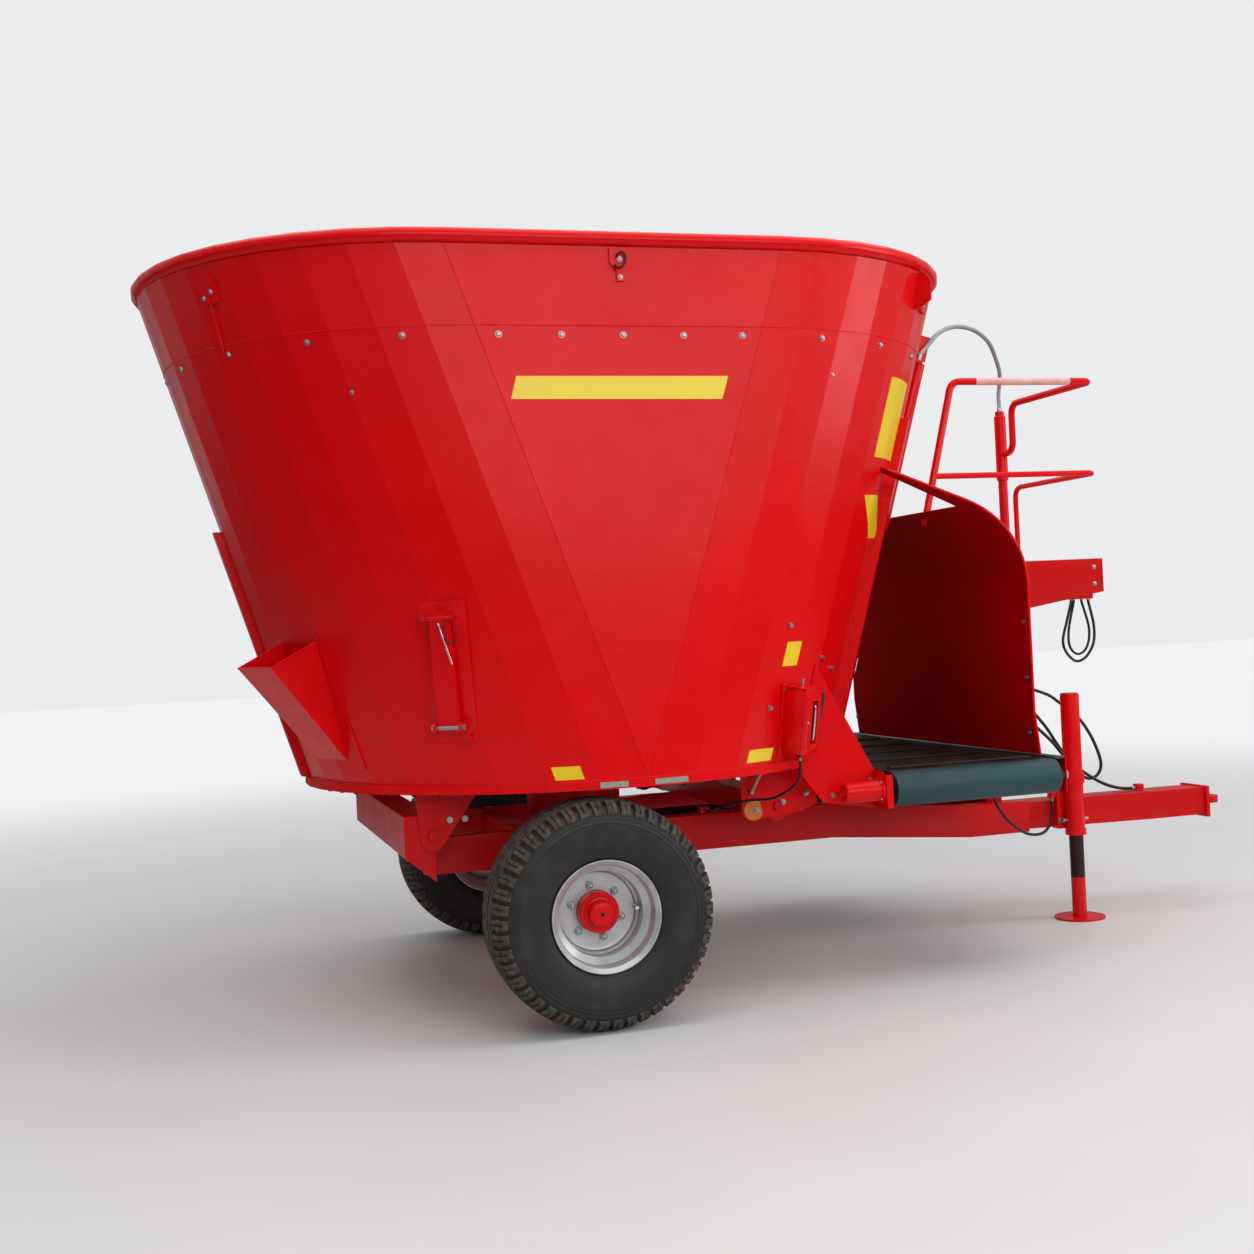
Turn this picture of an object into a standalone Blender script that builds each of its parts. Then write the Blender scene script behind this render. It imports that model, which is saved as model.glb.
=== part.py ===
"""Single-auger vertical feed mixer wagon, parked on its two wheels and its drawbar jack.

Metres, +Z up, +X forward to the hitch eye, -Y the wagon's right-hand side.
The origin lies on the ground, under the middle of the wagon's overall length.
"""

from math import acos, atan2, cos, hypot, pi, radians, sin, tan

import bmesh
import bpy
from mathutils import Matrix, Vector

# Driving dimensions

GAP = 0.0003  # kept between pieces that touch
AXLE_X = -1.0045  # the wheels' axis, behind the origin

TUB_X = AXLE_X + 0.202
FACETS = 19  # press-bent flats round each half circle
TUB_BASE_Z = 0.946
WELD_Z = 2.679  # where the extension ring starts
TUB_TOP_Z = 2.985
BASE_RADIUS = 1.163
TOP_RADIUS = 1.100
TOP_STRAIGHT = 1.360
WALL = 0.008
RIM_TUBE_R = 0.030
RING_HEIGHT = 0.033
RING_OUT = 0.015
RING_IN = 0.060
FLOOR_THICK = 0.012

SUPPORT_Y = 0.745
SUPPORT_PLATE = 0.014
REAR_SUPPORT_X = AXLE_X - 0.510
FRONT_SUPPORT_X = AXLE_X + 0.880

RAIL_Y = 0.450
RAIL_WIDTH = 0.090
RAIL_LOW_Z = 0.550
RAIL_HEIGHT = 0.150
RAIL_REAR_X = AXLE_X - 0.560
RAIL_BEND_X = AXLE_X + 1.250
RAIL_NOSE_X = AXLE_X + 2.420

DRAWBAR_WIDTH = 0.160
DRAWBAR_HEIGHT = 0.140
DRAWBAR_LOW_Z = 0.430
DRAWBAR_REAR_X = AXLE_X + 2.100
DRAWBAR_FRONT_X = AXLE_X + 3.480
EYE_OUT_R = 0.055
EYE_HOLE_R = 0.025
EYE_THICK = 0.036

TYRE_R = 0.4385
TYRE_WIDTH = 0.307
WHEEL_STEPS = 40
TRACK = 2.134
RIM_SEAT_R = 0.1944
RIM_FLANGE_R = 0.215
RIM_WIDTH = 0.262
RIM_DROP = 0.028  # depth of the well
RIM_SHEET = 0.006
RIM_BORE_R = 0.0805
STUD_CIRCLE_R = 0.1025
AXLE_SIDE = 0.100

DOOR_THICK = 0.008
CYLINDER_OFF = 0.060  # cylinder axis from the wall
BARREL_R = 0.030
ROD_R = 0.014
DOOR_OFF = 0.006
DOOR_EDGE_CLEAR = 0.016
GUIDE_SPAN = 0.26  # in facets
LIP_SPAN = 0.26
LIP_CLEAR = 0.010
GUIDE_LIP = 0.012

BELT_WIDTH = 0.760
BELT_REAR_X = AXLE_X + 1.290
BELT_THICK = 0.007
ROLLER_R = 0.0655
ROLLER_Z = 0.8025
ROLLER_Y = 1.000

HOOD_HALF = 1.000
HOOD_SHEET = 0.004
HOOD_FRONT_X = AXLE_X + 2.040
HOOD_LOW_Z = 0.900

JACK_X = AXLE_X + 2.673
JACK_Y = -0.170
JACK_TUBE_R = 0.045
JACK_LEG_R = 0.0340
JACK_TOP_Z = 1.085
JACK_TUBE_LOW_Z = 0.405
FOOT_R = 0.120
FOOT_THICK = 0.010

RED = (0.560, 0.020, 0.018)


# Scene and material helpers

def clear_scene():
    for obj in list(bpy.data.objects):
        bpy.data.objects.remove(obj)


def material(name, colour, rough=0.4, metal=0.0):
    mat = bpy.data.materials.new(name)
    mat.use_nodes = True
    shader = mat.node_tree.nodes["Principled BSDF"]
    shader.inputs["Base Color"].default_value = (*colour, 1.0)
    shader.inputs["Roughness"].default_value = rough
    shader.inputs["Metallic"].default_value = metal
    mat.diffuse_color = (*colour, 1.0)
    return mat


def add_object(name, bm, mat, smooth=False, pivot=None, helper=False):
    """One object from a bmesh in world space, with its origin moved to the pivot."""
    bmesh.ops.remove_doubles(bm, verts=bm.verts, dist=1e-6)
    bmesh.ops.recalc_face_normals(bm, faces=bm.faces)
    mesh = bpy.data.meshes.new(name)
    origin = Vector(pivot) if pivot is not None else Vector((0, 0, 0))
    bmesh.ops.translate(bm, verts=bm.verts, vec=-origin)
    bm.to_mesh(mesh)
    bm.free()
    if smooth:
        mesh.shade_smooth()
        mesh.set_sharp_from_angle(angle=radians(35))
    mesh.materials.append(mat)
    obj = bpy.data.objects.new(name, mesh)
    obj.location = origin
    bpy.context.scene.collection.objects.link(obj)
    if helper:
        obj.hide_render = True
        obj.display_type = "WIRE"
    return obj


def boolean(obj, other, operation):
    mod = obj.modifiers.new(other.name, "BOOLEAN")
    mod.operation = operation
    mod.object = other


def build(name, shapes, mat, cuts=(), smooth=False, pivot=None):
    """One node: the first shape, the others joined to it, and the cuts taken out."""
    obj = add_object(name, shapes[0], mat, smooth, pivot)
    for number, shape in enumerate(shapes[1:], 1):
        boolean(obj, add_object(f"{name}_add{number}", shape, mat, helper=True), "UNION")
    for number, shape in enumerate(cuts, 1):
        boolean(obj, add_object(f"{name}_cut{number}", shape, mat, helper=True), "DIFFERENCE")
    return obj


# Shape helpers, each returning a bmesh in world space

def loft(sections, closed=False):
    """A skin through equal rings of points, capped at both ends unless it closes on itself."""
    bm = bmesh.new()
    rings = [[bm.verts.new(point) for point in section] for section in sections]
    pairs = list(zip(rings, rings[1:]))
    if closed:
        pairs.append((rings[-1], rings[0]))
    for low, high in pairs:
        for i in range(len(low)):
            j = (i + 1) % len(low)
            bm.faces.new((low[i], low[j], high[j], high[i]))
    if not closed:
        bm.faces.new(rings[0][::-1])
        bm.faces.new(rings[-1])
    return bm


def box(low, high):
    (x0, y0, z0), (x1, y1, z1) = low, high
    return loft([[(x0, y0, z), (x1, y0, z), (x1, y1, z), (x0, y1, z)] for z in (z0, z1)])


def frame_box(frame, low, high):
    """A box in the axes of a placing matrix."""
    bm = box(low, high)
    bmesh.ops.transform(bm, matrix=frame, verts=bm.verts)
    return bm


def frame_prism(frame, outline, low, high):
    """An outline in a frame's first two axes, run along its third."""
    bm = loft([[(u, v, w) for u, v in outline] for w in (low, high)])
    bmesh.ops.transform(bm, matrix=frame, verts=bm.verts)
    return bm


def prism_xz(outline, y0, y1):
    return loft([[(x, y, z) for x, z in outline] for y in (y0, y1)])


def prism_yz(outline, x0, x1):
    return loft([[(x, y, z) for y, z in outline] for x in (x0, x1)])


def prism_xy(outline, z0, z1):
    return loft([[(x, y, z) for x, y in outline] for z in (z0, z1)])


def axis_frame(origin, along):
    """A placing matrix whose third axis points along the given direction."""
    turn = Vector(along).normalized().to_track_quat("Z", "Y").to_matrix().to_4x4()
    return Matrix.Translation(Vector(origin)) @ turn


def cylinder(start, end, radius, sides=24, end_radius=None):
    start, end = Vector(start), Vector(end)
    frame = axis_frame(start, end - start)
    far_radius = radius if end_radius is None else end_radius
    angles = [2 * pi * i / sides for i in range(sides)]
    sections = []
    for r, z in ((radius, 0.0), (far_radius, (end - start).length)):
        sections.append([frame @ Vector((r * cos(a), r * sin(a), z)) for a in angles])
    return loft(sections)


def turned(origin, along, profile, steps=32):
    """A closed outline of (radius, distance) points turned about an axis."""
    frame = axis_frame(origin, along)
    sections = []
    for i in range(steps):
        a = 2 * pi * i / steps
        sections.append([frame @ Vector((r * cos(a), r * sin(a), d)) for r, d in profile])
    return loft(sections, closed=True)


def swept(points, radius, sides=12, closed=False):
    """A round bar along a polyline, mitred at its corners."""
    points = [Vector(p) for p in points]
    count = len(points)
    sections = []
    normal = None
    for i, point in enumerate(points):
        before = points[i - 1] if (closed or i) else None
        after = points[(i + 1) % count] if (closed or i < count - 1) else None
        leave = (after - point).normalized() if after is not None else None
        arrive = (point - before).normalized() if before is not None else None
        arrive = leave if arrive is None else arrive
        leave = arrive if leave is None else leave
        tangent = (arrive + leave).normalized()
        if normal is None:
            guide = Vector((0, 0, 1)) if abs(arrive.z) < 0.9 else Vector((1, 0, 0))
            normal = arrive.cross(guide).normalized()
        normal = (normal - arrive * normal.dot(arrive)).normalized()
        across = arrive.cross(normal)
        ring = []
        for k in range(sides):
            a = 2 * pi * k / sides
            offset = (normal * cos(a) + across * sin(a)) * radius
            slide = offset.dot(tangent) / arrive.dot(tangent)
            ring.append(point + offset - arrive * slide)
        sections.append(ring)
        normal = (normal - leave * normal.dot(leave)).normalized()
    return loft(sections, closed)


def arc(centre, radius, start, end, steps):
    """Points (u, v) on an arc, angles in degrees."""
    found = []
    for i in range(steps + 1):
        a = radians(start + (end - start) * i / steps)
        found.append((centre[0] + radius * cos(a), centre[1] + radius * sin(a)))
    return found


def rounded_path(corners, radius, steps=5):
    """The polyline with each inner corner rounded by an arc."""
    corners = [Vector(c) for c in corners]
    path = [corners[0]]
    for before, corner, after in zip(corners, corners[1:], corners[2:]):
        a = (before - corner).normalized()
        b = (after - corner).normalized()
        half = a.angle(b) / 2
        reach = radius / tan(half)
        centre = corner + (a + b).normalized() * (radius / sin(half))
        start = corner + a * reach - centre
        end = corner + b * reach - centre
        turn = start.angle(end)
        axis = start.cross(end).normalized()
        for i in range(steps + 1):
            path.append(centre + Matrix.Rotation(turn * i / steps, 3, axis) @ start)
    path.append(corners[-1])
    return path


# The tub's wall: a circle at the base that stretches lengthwise as it rises

def wall_share(z):
    return (z - TUB_BASE_Z) / (TUB_TOP_Z - TUB_BASE_Z)


def wall_radius(z):
    return BASE_RADIUS + (TOP_RADIUS - BASE_RADIUS) * wall_share(z)


def wall_straight(z):
    return TOP_STRAIGHT * max(wall_share(z), 0.0)


def wall_corner(end, k, z, off):
    """Corner k of one end's facets, counted from the right seam, moved out by off. end is -1 rear, 1 front."""
    a = k * pi / FACETS
    radius = wall_radius(z) + off
    return Vector((TUB_X + end * (wall_straight(z) / 2 + radius * sin(a)), -radius * cos(a), z))


def wall_point(end, k, z, off):
    """A point on a facet's flat face, for a corner number that may be a fraction."""
    low = min(int(k), FACETS - 1)
    share = k - low
    return wall_corner(end, low, z, off).lerp(wall_corner(end, low + 1, z, off), share)


def facet_frame(end, k, z, off=0.0):
    """Axes on the wall: first along the facet, or across a corner, second up the slope, third outwards."""
    low = int(k)
    first = low - 1 if k == low else low
    here = wall_point(end, k, z, off)
    along = (wall_corner(end, low + 1, z, off) - wall_corner(end, first, z, off)).normalized()
    up = (wall_point(end, k, z + 0.1, off) - wall_point(end, k, z - 0.1, off)).normalized()
    if end > 0:
        out = along.cross(up).normalized()
    else:
        along = -along
        out = along.cross(up).normalized()
    up = out.cross(along)
    frame = Matrix((along, up, out)).transposed().to_4x4()
    return Matrix.Translation(here) @ frame


def wall_patch(end, stations, z0, z1, inner, outer):
    """A piece of wall between two heights, through the given corner numbers."""
    sections = []
    for k in stations:
        points = [(z0, outer), (z1, outer), (z1, inner), (z0, inner)]
        sections.append([wall_point(end, k, z, off) for z, off in points])
    return loft(sections)


def stations_between(k0, k1):
    whole = [k for k in range(FACETS + 1) if k0 < k < k1]
    return [k0, *whole, k1]


def tub_ring(z0, z1, inner, outer):
    """A closed ring of wall all the way round."""
    sections = []
    for end, ks in ((-1, range(FACETS + 1)), (1, range(FACETS, -1, -1))):
        for k in ks:
            points = [(z0, outer), (z1, outer), (z1, inner), (z0, inner)]
            sections.append([wall_corner(end, k, z, off) for z, off in points])
    return loft(sections, closed=True)


def tub_outline(z, off):
    rear = [wall_corner(-1, k, z, off) for k in range(FACETS + 1)]
    front = [wall_corner(1, k, z, off) for k in range(FACETS, -1, -1)]
    return rear + front


def tub_body(z0, z1, off):
    """The solid space inside the tub's outer face, used as a cutter."""
    return loft([tub_outline(z, off) for z in (z0, z1)])


# Materials

def make_materials():
    return {
        "red": material("red_paint", RED, 0.28),
        "deep_red": material("red_chassis_paint", (0.500, 0.018, 0.016), 0.33),
        "silver": material("zinc_plated_steel", (0.62, 0.63, 0.64), 0.32, 1.0),
        "stainless": material("stainless_sheet", (0.60, 0.66, 0.70), 0.30, 1.0),
        "chrome": material("chromed_rod", (0.80, 0.80, 0.82), 0.10, 1.0),
        "rubber": material("tyre_rubber", (0.022, 0.022, 0.024), 0.75),
        "belt": material("conveyor_belt_rubber", (0.055, 0.045, 0.040), 0.60),
        "green": material("green_roller_paint", (0.022, 0.070, 0.075), 0.45),
        "rim": material("rim_silver_paint", (0.55, 0.56, 0.58), 0.35, 0.6),
        "grey": material("grey_conduit", (0.36, 0.37, 0.38), 0.45),
        "black": material("black_hose", (0.012, 0.012, 0.013), 0.45),
        "amber": material("amber_lever_plastic", (0.75, 0.30, 0.02), 0.40),
        "steel": material("worn_auger_steel", (0.36, 0.35, 0.34), 0.42, 1.0),
    }


# Chassis

def rail_section(x, y, low_z, width):
    half = width / 2
    high_z = low_z + RAIL_HEIGHT
    return [(x, y - half, low_z), (x, y + half, low_z), (x, y + half, high_z), (x, y - half, high_z)]


def make_chassis(mats):
    nose_y = DRAWBAR_WIDTH / 2 + RAIL_WIDTH / 2 + GAP
    nose_z = DRAWBAR_LOW_Z + 0.010
    for side, name in ((-1, "right"), (1, "left")):
        stations = (
            (RAIL_REAR_X, RAIL_Y, RAIL_LOW_Z),
            (RAIL_BEND_X, RAIL_Y, RAIL_LOW_Z),
            (RAIL_NOSE_X - 0.320, nose_y, nose_z),
            (RAIL_NOSE_X, nose_y, nose_z),
        )
        sections = [rail_section(x, side * y, z, RAIL_WIDTH) for x, y, z in stations]
        build(f"chassis_rail_{name}", [loft(sections)], mats["deep_red"])
    reach = RAIL_Y - RAIL_WIDTH / 2 - GAP
    low = (AXLE_X - 0.140, -reach, RAIL_LOW_Z + 0.015)
    high = (AXLE_X - 0.060, reach, RAIL_LOW_Z + RAIL_HEIGHT - 0.015)
    build("cross_member", [box(low, high)], mats["deep_red"])


def make_supports(mats):
    """The rear and front beams on the rails, each with the two brackets that carry the tub's floor."""
    top = TUB_BASE_Z - RING_HEIGHT - GAP
    reach = SUPPORT_Y + 0.004
    rear = RAIL_REAR_X - GAP
    rear_outline = [(rear, 0.560), (rear, 0.824), (rear - 0.120, 0.824), (rear - 0.120, 0.660)]
    rail_top = RAIL_LOW_Z + RAIL_HEIGHT + GAP
    front_outline = [(FRONT_SUPPORT_X - 0.060, rail_top), (FRONT_SUPPORT_X + 0.060, rail_top),
                     (FRONT_SUPPORT_X + 0.060, rail_top + 0.100), (FRONT_SUPPORT_X - 0.060, rail_top + 0.100)]
    rows = (  # name, bracket centre, bracket tip, beam outline
        ("rear", REAR_SUPPORT_X, REAR_SUPPORT_X - 0.060, rear_outline),
        ("front", FRONT_SUPPORT_X, FRONT_SUPPORT_X, front_outline),
    )
    for name, centre, tip_x, outline in rows:
        shapes = [prism_xz(outline, -reach, reach)]
        tip = arc((tip_x, 0.730), 0.050, 200, 340, 7)
        bracket = [(centre - 0.120, top), (centre - 0.120, top - 0.020), *tip,
                   (centre + 0.120, top - 0.020), (centre + 0.120, top)]
        for side in (-1, 1):
            inner = side * SUPPORT_Y
            outer = side * (SUPPORT_Y + SUPPORT_PLATE)
            foot_y = sorted((inner - side * 0.070, inner + side * 0.004))
            shapes.append(prism_xz(bracket, inner, outer))
            shapes.append(box((centre - 0.118, foot_y[0], top - 0.012), (centre + 0.118, foot_y[1], top - 0.0005)))
            shapes.append(cylinder((tip_x, inner - side * 0.008, 0.745), (tip_x, outer + side * 0.020, 0.745), 0.019, 12))
        build(f"{name}_support_beam", shapes, mats["deep_red"])


def make_drawbar(mats):
    half = DRAWBAR_WIDTH / 2
    high_z = DRAWBAR_LOW_Z + DRAWBAR_HEIGHT
    outline = [(DRAWBAR_REAR_X, DRAWBAR_LOW_Z + 0.015), (DRAWBAR_FRONT_X - 0.300, DRAWBAR_LOW_Z),
               (DRAWBAR_FRONT_X, DRAWBAR_LOW_Z), (DRAWBAR_FRONT_X, high_z - 0.004), (DRAWBAR_REAR_X, high_z)]
    end_plate = box((DRAWBAR_FRONT_X - 0.002, -half - 0.025, DRAWBAR_LOW_Z - 0.012),
                    (DRAWBAR_FRONT_X + 0.016, half + 0.025, high_z + 0.004))
    build("drawbar", [prism_xz(outline, -half, half), end_plate], mats["deep_red"])
    back = DRAWBAR_FRONT_X + 0.016 + GAP
    centre_x = back + 0.058
    z = DRAWBAR_LOW_Z + 0.066
    flange = box((back, -0.075, z - 0.055), (back + 0.018, 0.075, z + 0.055))
    ring = cylinder((centre_x, 0, z - EYE_THICK / 2), (centre_x, 0, z + EYE_THICK / 2), EYE_OUT_R, 32)
    neck = box((back + 0.010, -0.045, z - EYE_THICK / 2 + 0.001), (centre_x, 0.045, z + EYE_THICK / 2 - 0.001))
    hole = cylinder((centre_x, 0, z - 0.05), (centre_x, 0, z + 0.05), EYE_HOLE_R, 24)
    build("hitch_eye", [flange, ring, neck], mats["deep_red"], [hole])


def make_axle(mats):
    z = TYRE_R
    half = AXLE_SIDE / 2
    inner_face = TRACK / 2 - 0.090
    beam = box((AXLE_X - half, -inner_face + 0.010, z - half), (AXLE_X + half, inner_face - 0.010, z + half))
    stub = cylinder((AXLE_X, -TRACK / 2 - 0.020, z), (AXLE_X, TRACK / 2 + 0.020, z), 0.032, 20)
    shapes = [beam, stub]
    for side in (-1, 1):
        y = side * RAIL_Y
        shapes.append(box((AXLE_X - 0.110, y - 0.040, z + half - 0.020), (AXLE_X + 0.110, y + 0.040, RAIL_LOW_Z - GAP)))
        flange = side * (inner_face - 0.005)
        shapes.append(cylinder((AXLE_X, flange, z), (AXLE_X, flange - side * 0.018, z), 0.075, 24))
    build("axle_beam", shapes, mats["deep_red"])


# Wheels

def tyre_outline():
    """Radius and distance from the mid-plane, round the tyre's section from bead to bead."""
    half = TYRE_WIDTH / 2
    out = [(RIM_SEAT_R + 0.007, -RIM_WIDTH / 2 + 0.020), (0.235, -RIM_WIDTH / 2 - 0.004), (0.300, -half),
           (0.370, -half + 0.004), (0.415, -half + 0.026), (TYRE_R - 0.008, -half + 0.055), (TYRE_R, -half + 0.100)]
    inside = [(TYRE_R - 0.030, -0.095), (0.350, -half + 0.022), (0.260, -half + 0.020),
              (RIM_SEAT_R + 0.007, -RIM_WIDTH / 2 + 0.036)]
    outer = out + [(r, -y) for r, y in reversed(out)]
    inner = [(r, -y) for r, y in inside] [::-1]
    return outer + inner + inside


def make_wheels(mats):
    z = TYRE_R
    for side, name in ((-1, "right"), (1, "left")):
        centre = Vector((AXLE_X, side * TRACK / 2, z))
        along = (0, side, 0)
        seat = RIM_SEAT_R + 0.004
        edge = RIM_WIDTH / 2
        tyre = turned(centre, along, tyre_outline(), WHEEL_STEPS)
        build(f"tyre_{name}", [tyre], mats["rubber"], smooth=True, pivot=centre)
        drop = seat - RIM_DROP
        wall = RIM_SHEET
        outside = [(RIM_FLANGE_R, -edge), (RIM_FLANGE_R, -edge + 0.010), (seat, -edge + 0.014), (seat, -0.060),
                   (drop, -0.045), (drop, 0.045), (seat, 0.060), (seat, edge - 0.014),
                   (RIM_FLANGE_R, edge - 0.010), (RIM_FLANGE_R, edge)]
        inside = [(seat - wall, edge - 0.004), (seat - wall, 0.066), (drop - wall, 0.050), (drop - wall, -0.010),
                  (0.135, -0.024), (RIM_BORE_R, -0.024), (RIM_BORE_R, -0.034), (0.137, -0.034),
                  (drop - wall, -0.021), (drop - wall, -0.050), (seat - wall, -0.066), (seat - wall, -edge + 0.004)]
        nuts = []
        for i in range(6):
            a = 2 * pi * i / 6 + radians(8)
            foot = centre + Vector((STUD_CIRCLE_R * cos(a), side * -0.030, STUD_CIRCLE_R * sin(a)))
            nuts.append(cylinder(foot, foot + Vector((0, side * 0.026, 0)), 0.0145, 6))
        build(f"rim_{name}", [turned(centre, along, outside + inside, WHEEL_STEPS), *nuts],
              mats["rim"], smooth=True, pivot=centre)
        bore = 0.0335
        drum = [(bore, -0.085), (0.100, -0.085), (0.118, -0.080), (0.118, -0.0345), (0.078, -0.0345), (0.078, 0.030),
                (0.052, 0.034), (0.052, 0.060), (0.030, 0.068), (0.0, 0.068), (0.0, 0.024), (bore, 0.024)]
        build(f"hub_{name}", [turned(centre, along, drum, 24)], mats["red"], smooth=True, pivot=centre)


# Tub

DOOR_LOW_Z = TUB_BASE_Z + 0.024
DOORS = {
    "front": {"end": 1, "k0": 6.35, "k1": 12.65, "top_z": 1.760, "guide_top": 2.380, "rod_k": 8.5, "pin_z": 2.730,
              "paint": "stainless"},
    "rear": {"end": -1, "k0": 9.90, "k1": 14.70, "top_z": 1.700, "guide_top": 2.010, "rod_k": 12.5, "pin_z": 2.730,
             "paint": "red"},
}
ROD_EYE_Z = 1.300
GLAND_Z = 1.920
KNIVES = {"right": (-1, 3.5), "left": (1, 16.5)}  # which end, and the place round it
KNIFE_HINGE_Z = 1.180


def door_cut(door):
    stations = stations_between(door["k0"] + 0.30, door["k1"] - 0.30)
    return wall_patch(door["end"], stations, DOOR_LOW_Z + 0.020, door["top_z"] - 0.060, -0.060, 0.060)


def knife_slot(place):
    """The slot that the counter-knife swings through."""
    return frame_box(facet_frame(*place, KNIFE_HINGE_Z), (-0.012, 0.055, -0.100), (0.012, 0.360, 0.100))


def make_tub(mats):
    low = TUB_BASE_Z + GAP
    high = WELD_Z - GAP
    cuts = {
        "rear": [door_cut(DOORS["rear"]), knife_slot(KNIVES["right"])],
        "front": [door_cut(DOORS["front"]), knife_slot(KNIVES["left"])],
    }
    for end, name in ((-1, "rear"), (1, "front")):
        shell = wall_patch(end, range(FACETS + 1), low, high, -WALL, 0)
        build(f"tub_{name}_shell", [shell], mats["red"], cuts[name])
    start = low + 0.003
    for side, name in ((-1, "right"), (1, "left")):
        sections = []
        for z in (start, high):
            half = wall_straight(z) / 2 - GAP
            out, inside = side * wall_radius(z), side * (wall_radius(z) - WALL)
            sections.append([(TUB_X - half, out, z), (TUB_X + half, out, z),
                             (TUB_X + half, inside, z), (TUB_X - half, inside, z)])
        build(f"tub_{name}_panel", [loft(sections)], mats["red"])
    lugs = [rim_lug(end, k) for end, k in ((-1, 5.5), (-1, FACETS - 5.5), (1, 5.5), (1, FACETS - 5.5))]
    lugs += cylinder_bracket(DOORS["front"]) + cylinder_bracket(DOORS["rear"])
    build("tub_extension_ring", [tub_ring(WELD_Z, TUB_TOP_Z, -WALL, 0), *lugs], mats["red"])
    top = TUB_TOP_Z + RIM_TUBE_R + GAP
    path = [(p.x, p.y, top) for p in tub_outline(TUB_TOP_Z, -WALL / 2)]
    build("tub_rim_tube", [swept(path, RIM_TUBE_R, 12, closed=True)], mats["red"], smooth=True)
    ring_low = TUB_BASE_Z - RING_HEIGHT
    build("tub_bottom_ring", [tub_ring(ring_low, TUB_BASE_Z, -RING_IN, RING_OUT)], mats["red"])
    floor_top = TUB_BASE_Z - 0.004
    outline = [(p.x, p.y) for p in tub_outline(TUB_BASE_Z, -RING_IN - GAP)]
    build("tub_floor", [prism_xy(outline, floor_top - FLOOR_THICK, floor_top)], mats["red"])


def rim_lug(end, k):
    """A lifting plate with an eye, welded on the extension ring just under the rim tube."""
    frame = facet_frame(end, k, TUB_TOP_Z - 0.100)
    outline = [(-0.045, -0.050), (0.045, -0.050), (0.045, 0.030), (0.020, 0.060), (-0.020, 0.060), (-0.045, 0.030)]
    return frame_prism(frame, outline, -0.002, 0.012)


# Discharge doors

def slide_direction(door):
    middle = (door["k0"] + door["k1"]) / 2
    low = wall_point(door["end"], middle, DOOR_LOW_Z, 0)
    high = wall_point(door["end"], middle, TUB_TOP_Z, 0)
    return (high - low).normalized()


def cylinder_frame(door, z):
    """Axes on the lifting cylinder's line at a height: first across, second up the line, third outwards."""
    slide = slide_direction(door)
    eye = wall_point(door["end"], door["rod_k"], ROD_EYE_Z, CYLINDER_OFF)
    out = facet_frame(door["end"], door["rod_k"], ROD_EYE_Z).col[2].to_3d()
    across = slide.cross(out).normalized()
    turn = Matrix((across, slide, across.cross(slide))).transposed().to_4x4()
    return Matrix.Translation(eye + slide * ((z - ROD_EYE_Z) / slide.z)) @ turn


def make_door_frame(mats, name, door):
    """Two guides with a lip over the door's edges, on a sill."""
    end, k0, k1 = door["end"], door["k0"], door["k1"]
    clear = DOOR_EDGE_CLEAR / BASE_RADIUS * FACETS / pi
    lip_low = DOOR_OFF + DOOR_THICK + LIP_CLEAR
    lip_high = lip_low + GUIDE_LIP
    low_z = TUB_BASE_Z + GAP
    spans = (  # first corner, last corner, inner and outer offset
        (k0 - clear - GUIDE_SPAN, k0 - clear, GAP, lip_high),
        (k0 - clear - 0.10, k0 + LIP_SPAN, lip_low, lip_high),
        (k1 + clear, k1 + clear + GUIDE_SPAN, GAP, lip_high),
        (k1 - LIP_SPAN, k1 + clear + 0.10, lip_low, lip_high),
    )
    shapes = [wall_patch(end, stations_between(k0 - clear - 0.2, k1 + clear + 0.2), low_z, DOOR_LOW_Z - 0.006,
                         GAP, lip_low + 0.004)]
    for first, last, inner, outer in spans:
        low = low_z + (0.002 if inner == GAP else 0.004)
        shapes.append(wall_patch(end, stations_between(first, last), low, door["guide_top"], inner, outer))
    build(f"{name}_door_frame", shapes, mats["red"])


def make_door(mats, name, door):
    end, rod_k = door["end"], door["rod_k"]
    stations = stations_between(door["k0"], door["k1"])
    plate = wall_patch(end, stations, DOOR_LOW_Z, door["top_z"], DOOR_OFF, DOOR_OFF + DOOR_THICK)
    reach = CYLINDER_OFF - DOOR_OFF - DOOR_THICK
    frame = cylinder_frame(door, ROD_EYE_Z)
    ears = [frame_box(frame, (u - 0.004, -0.030, -reach - 0.004), (u + 0.004, 0.030, 0.020)) for u in (-0.020, 0.020)]
    eye = frame.translation
    build(f"{name}_door", [plate, *ears], mats[door["paint"]], pivot=eye)
    half = Vector((0.016 - GAP, 0, 0))
    gland = cylinder_frame(door, GLAND_Z).translation
    pin = cylinder_frame(door, door["pin_z"]).translation
    slide = slide_direction(door)
    boss = cylinder(frame @ -half, frame @ half, 0.020, 16)
    rod = cylinder(eye, gland + slide * 0.060, ROD_R, 16)
    build(f"{name}_door_rod", [rod, boss], mats["chrome"], smooth=True, pivot=eye)
    length = (pin - gland).length - 0.040
    bore = [(ROD_R + GAP, 0.0), (BARREL_R, 0.0), (BARREL_R, length), (0.0, length), (0.0, length - 0.016),
            (BARREL_R - 0.010, length - 0.016), (BARREL_R - 0.010, 0.030), (ROD_R + GAP, 0.030)]
    top_frame = cylinder_frame(door, door["pin_z"])
    top_eye = cylinder(top_frame @ -half, top_frame @ half, 0.024, 16)
    neck = cylinder(pin, pin - slide * 0.050, 0.014, 12)
    build(f"{name}_door_cylinder", [turned(gland, slide, bore, 20), neck, top_eye], mats["red"], smooth=True, pivot=pin)


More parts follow.
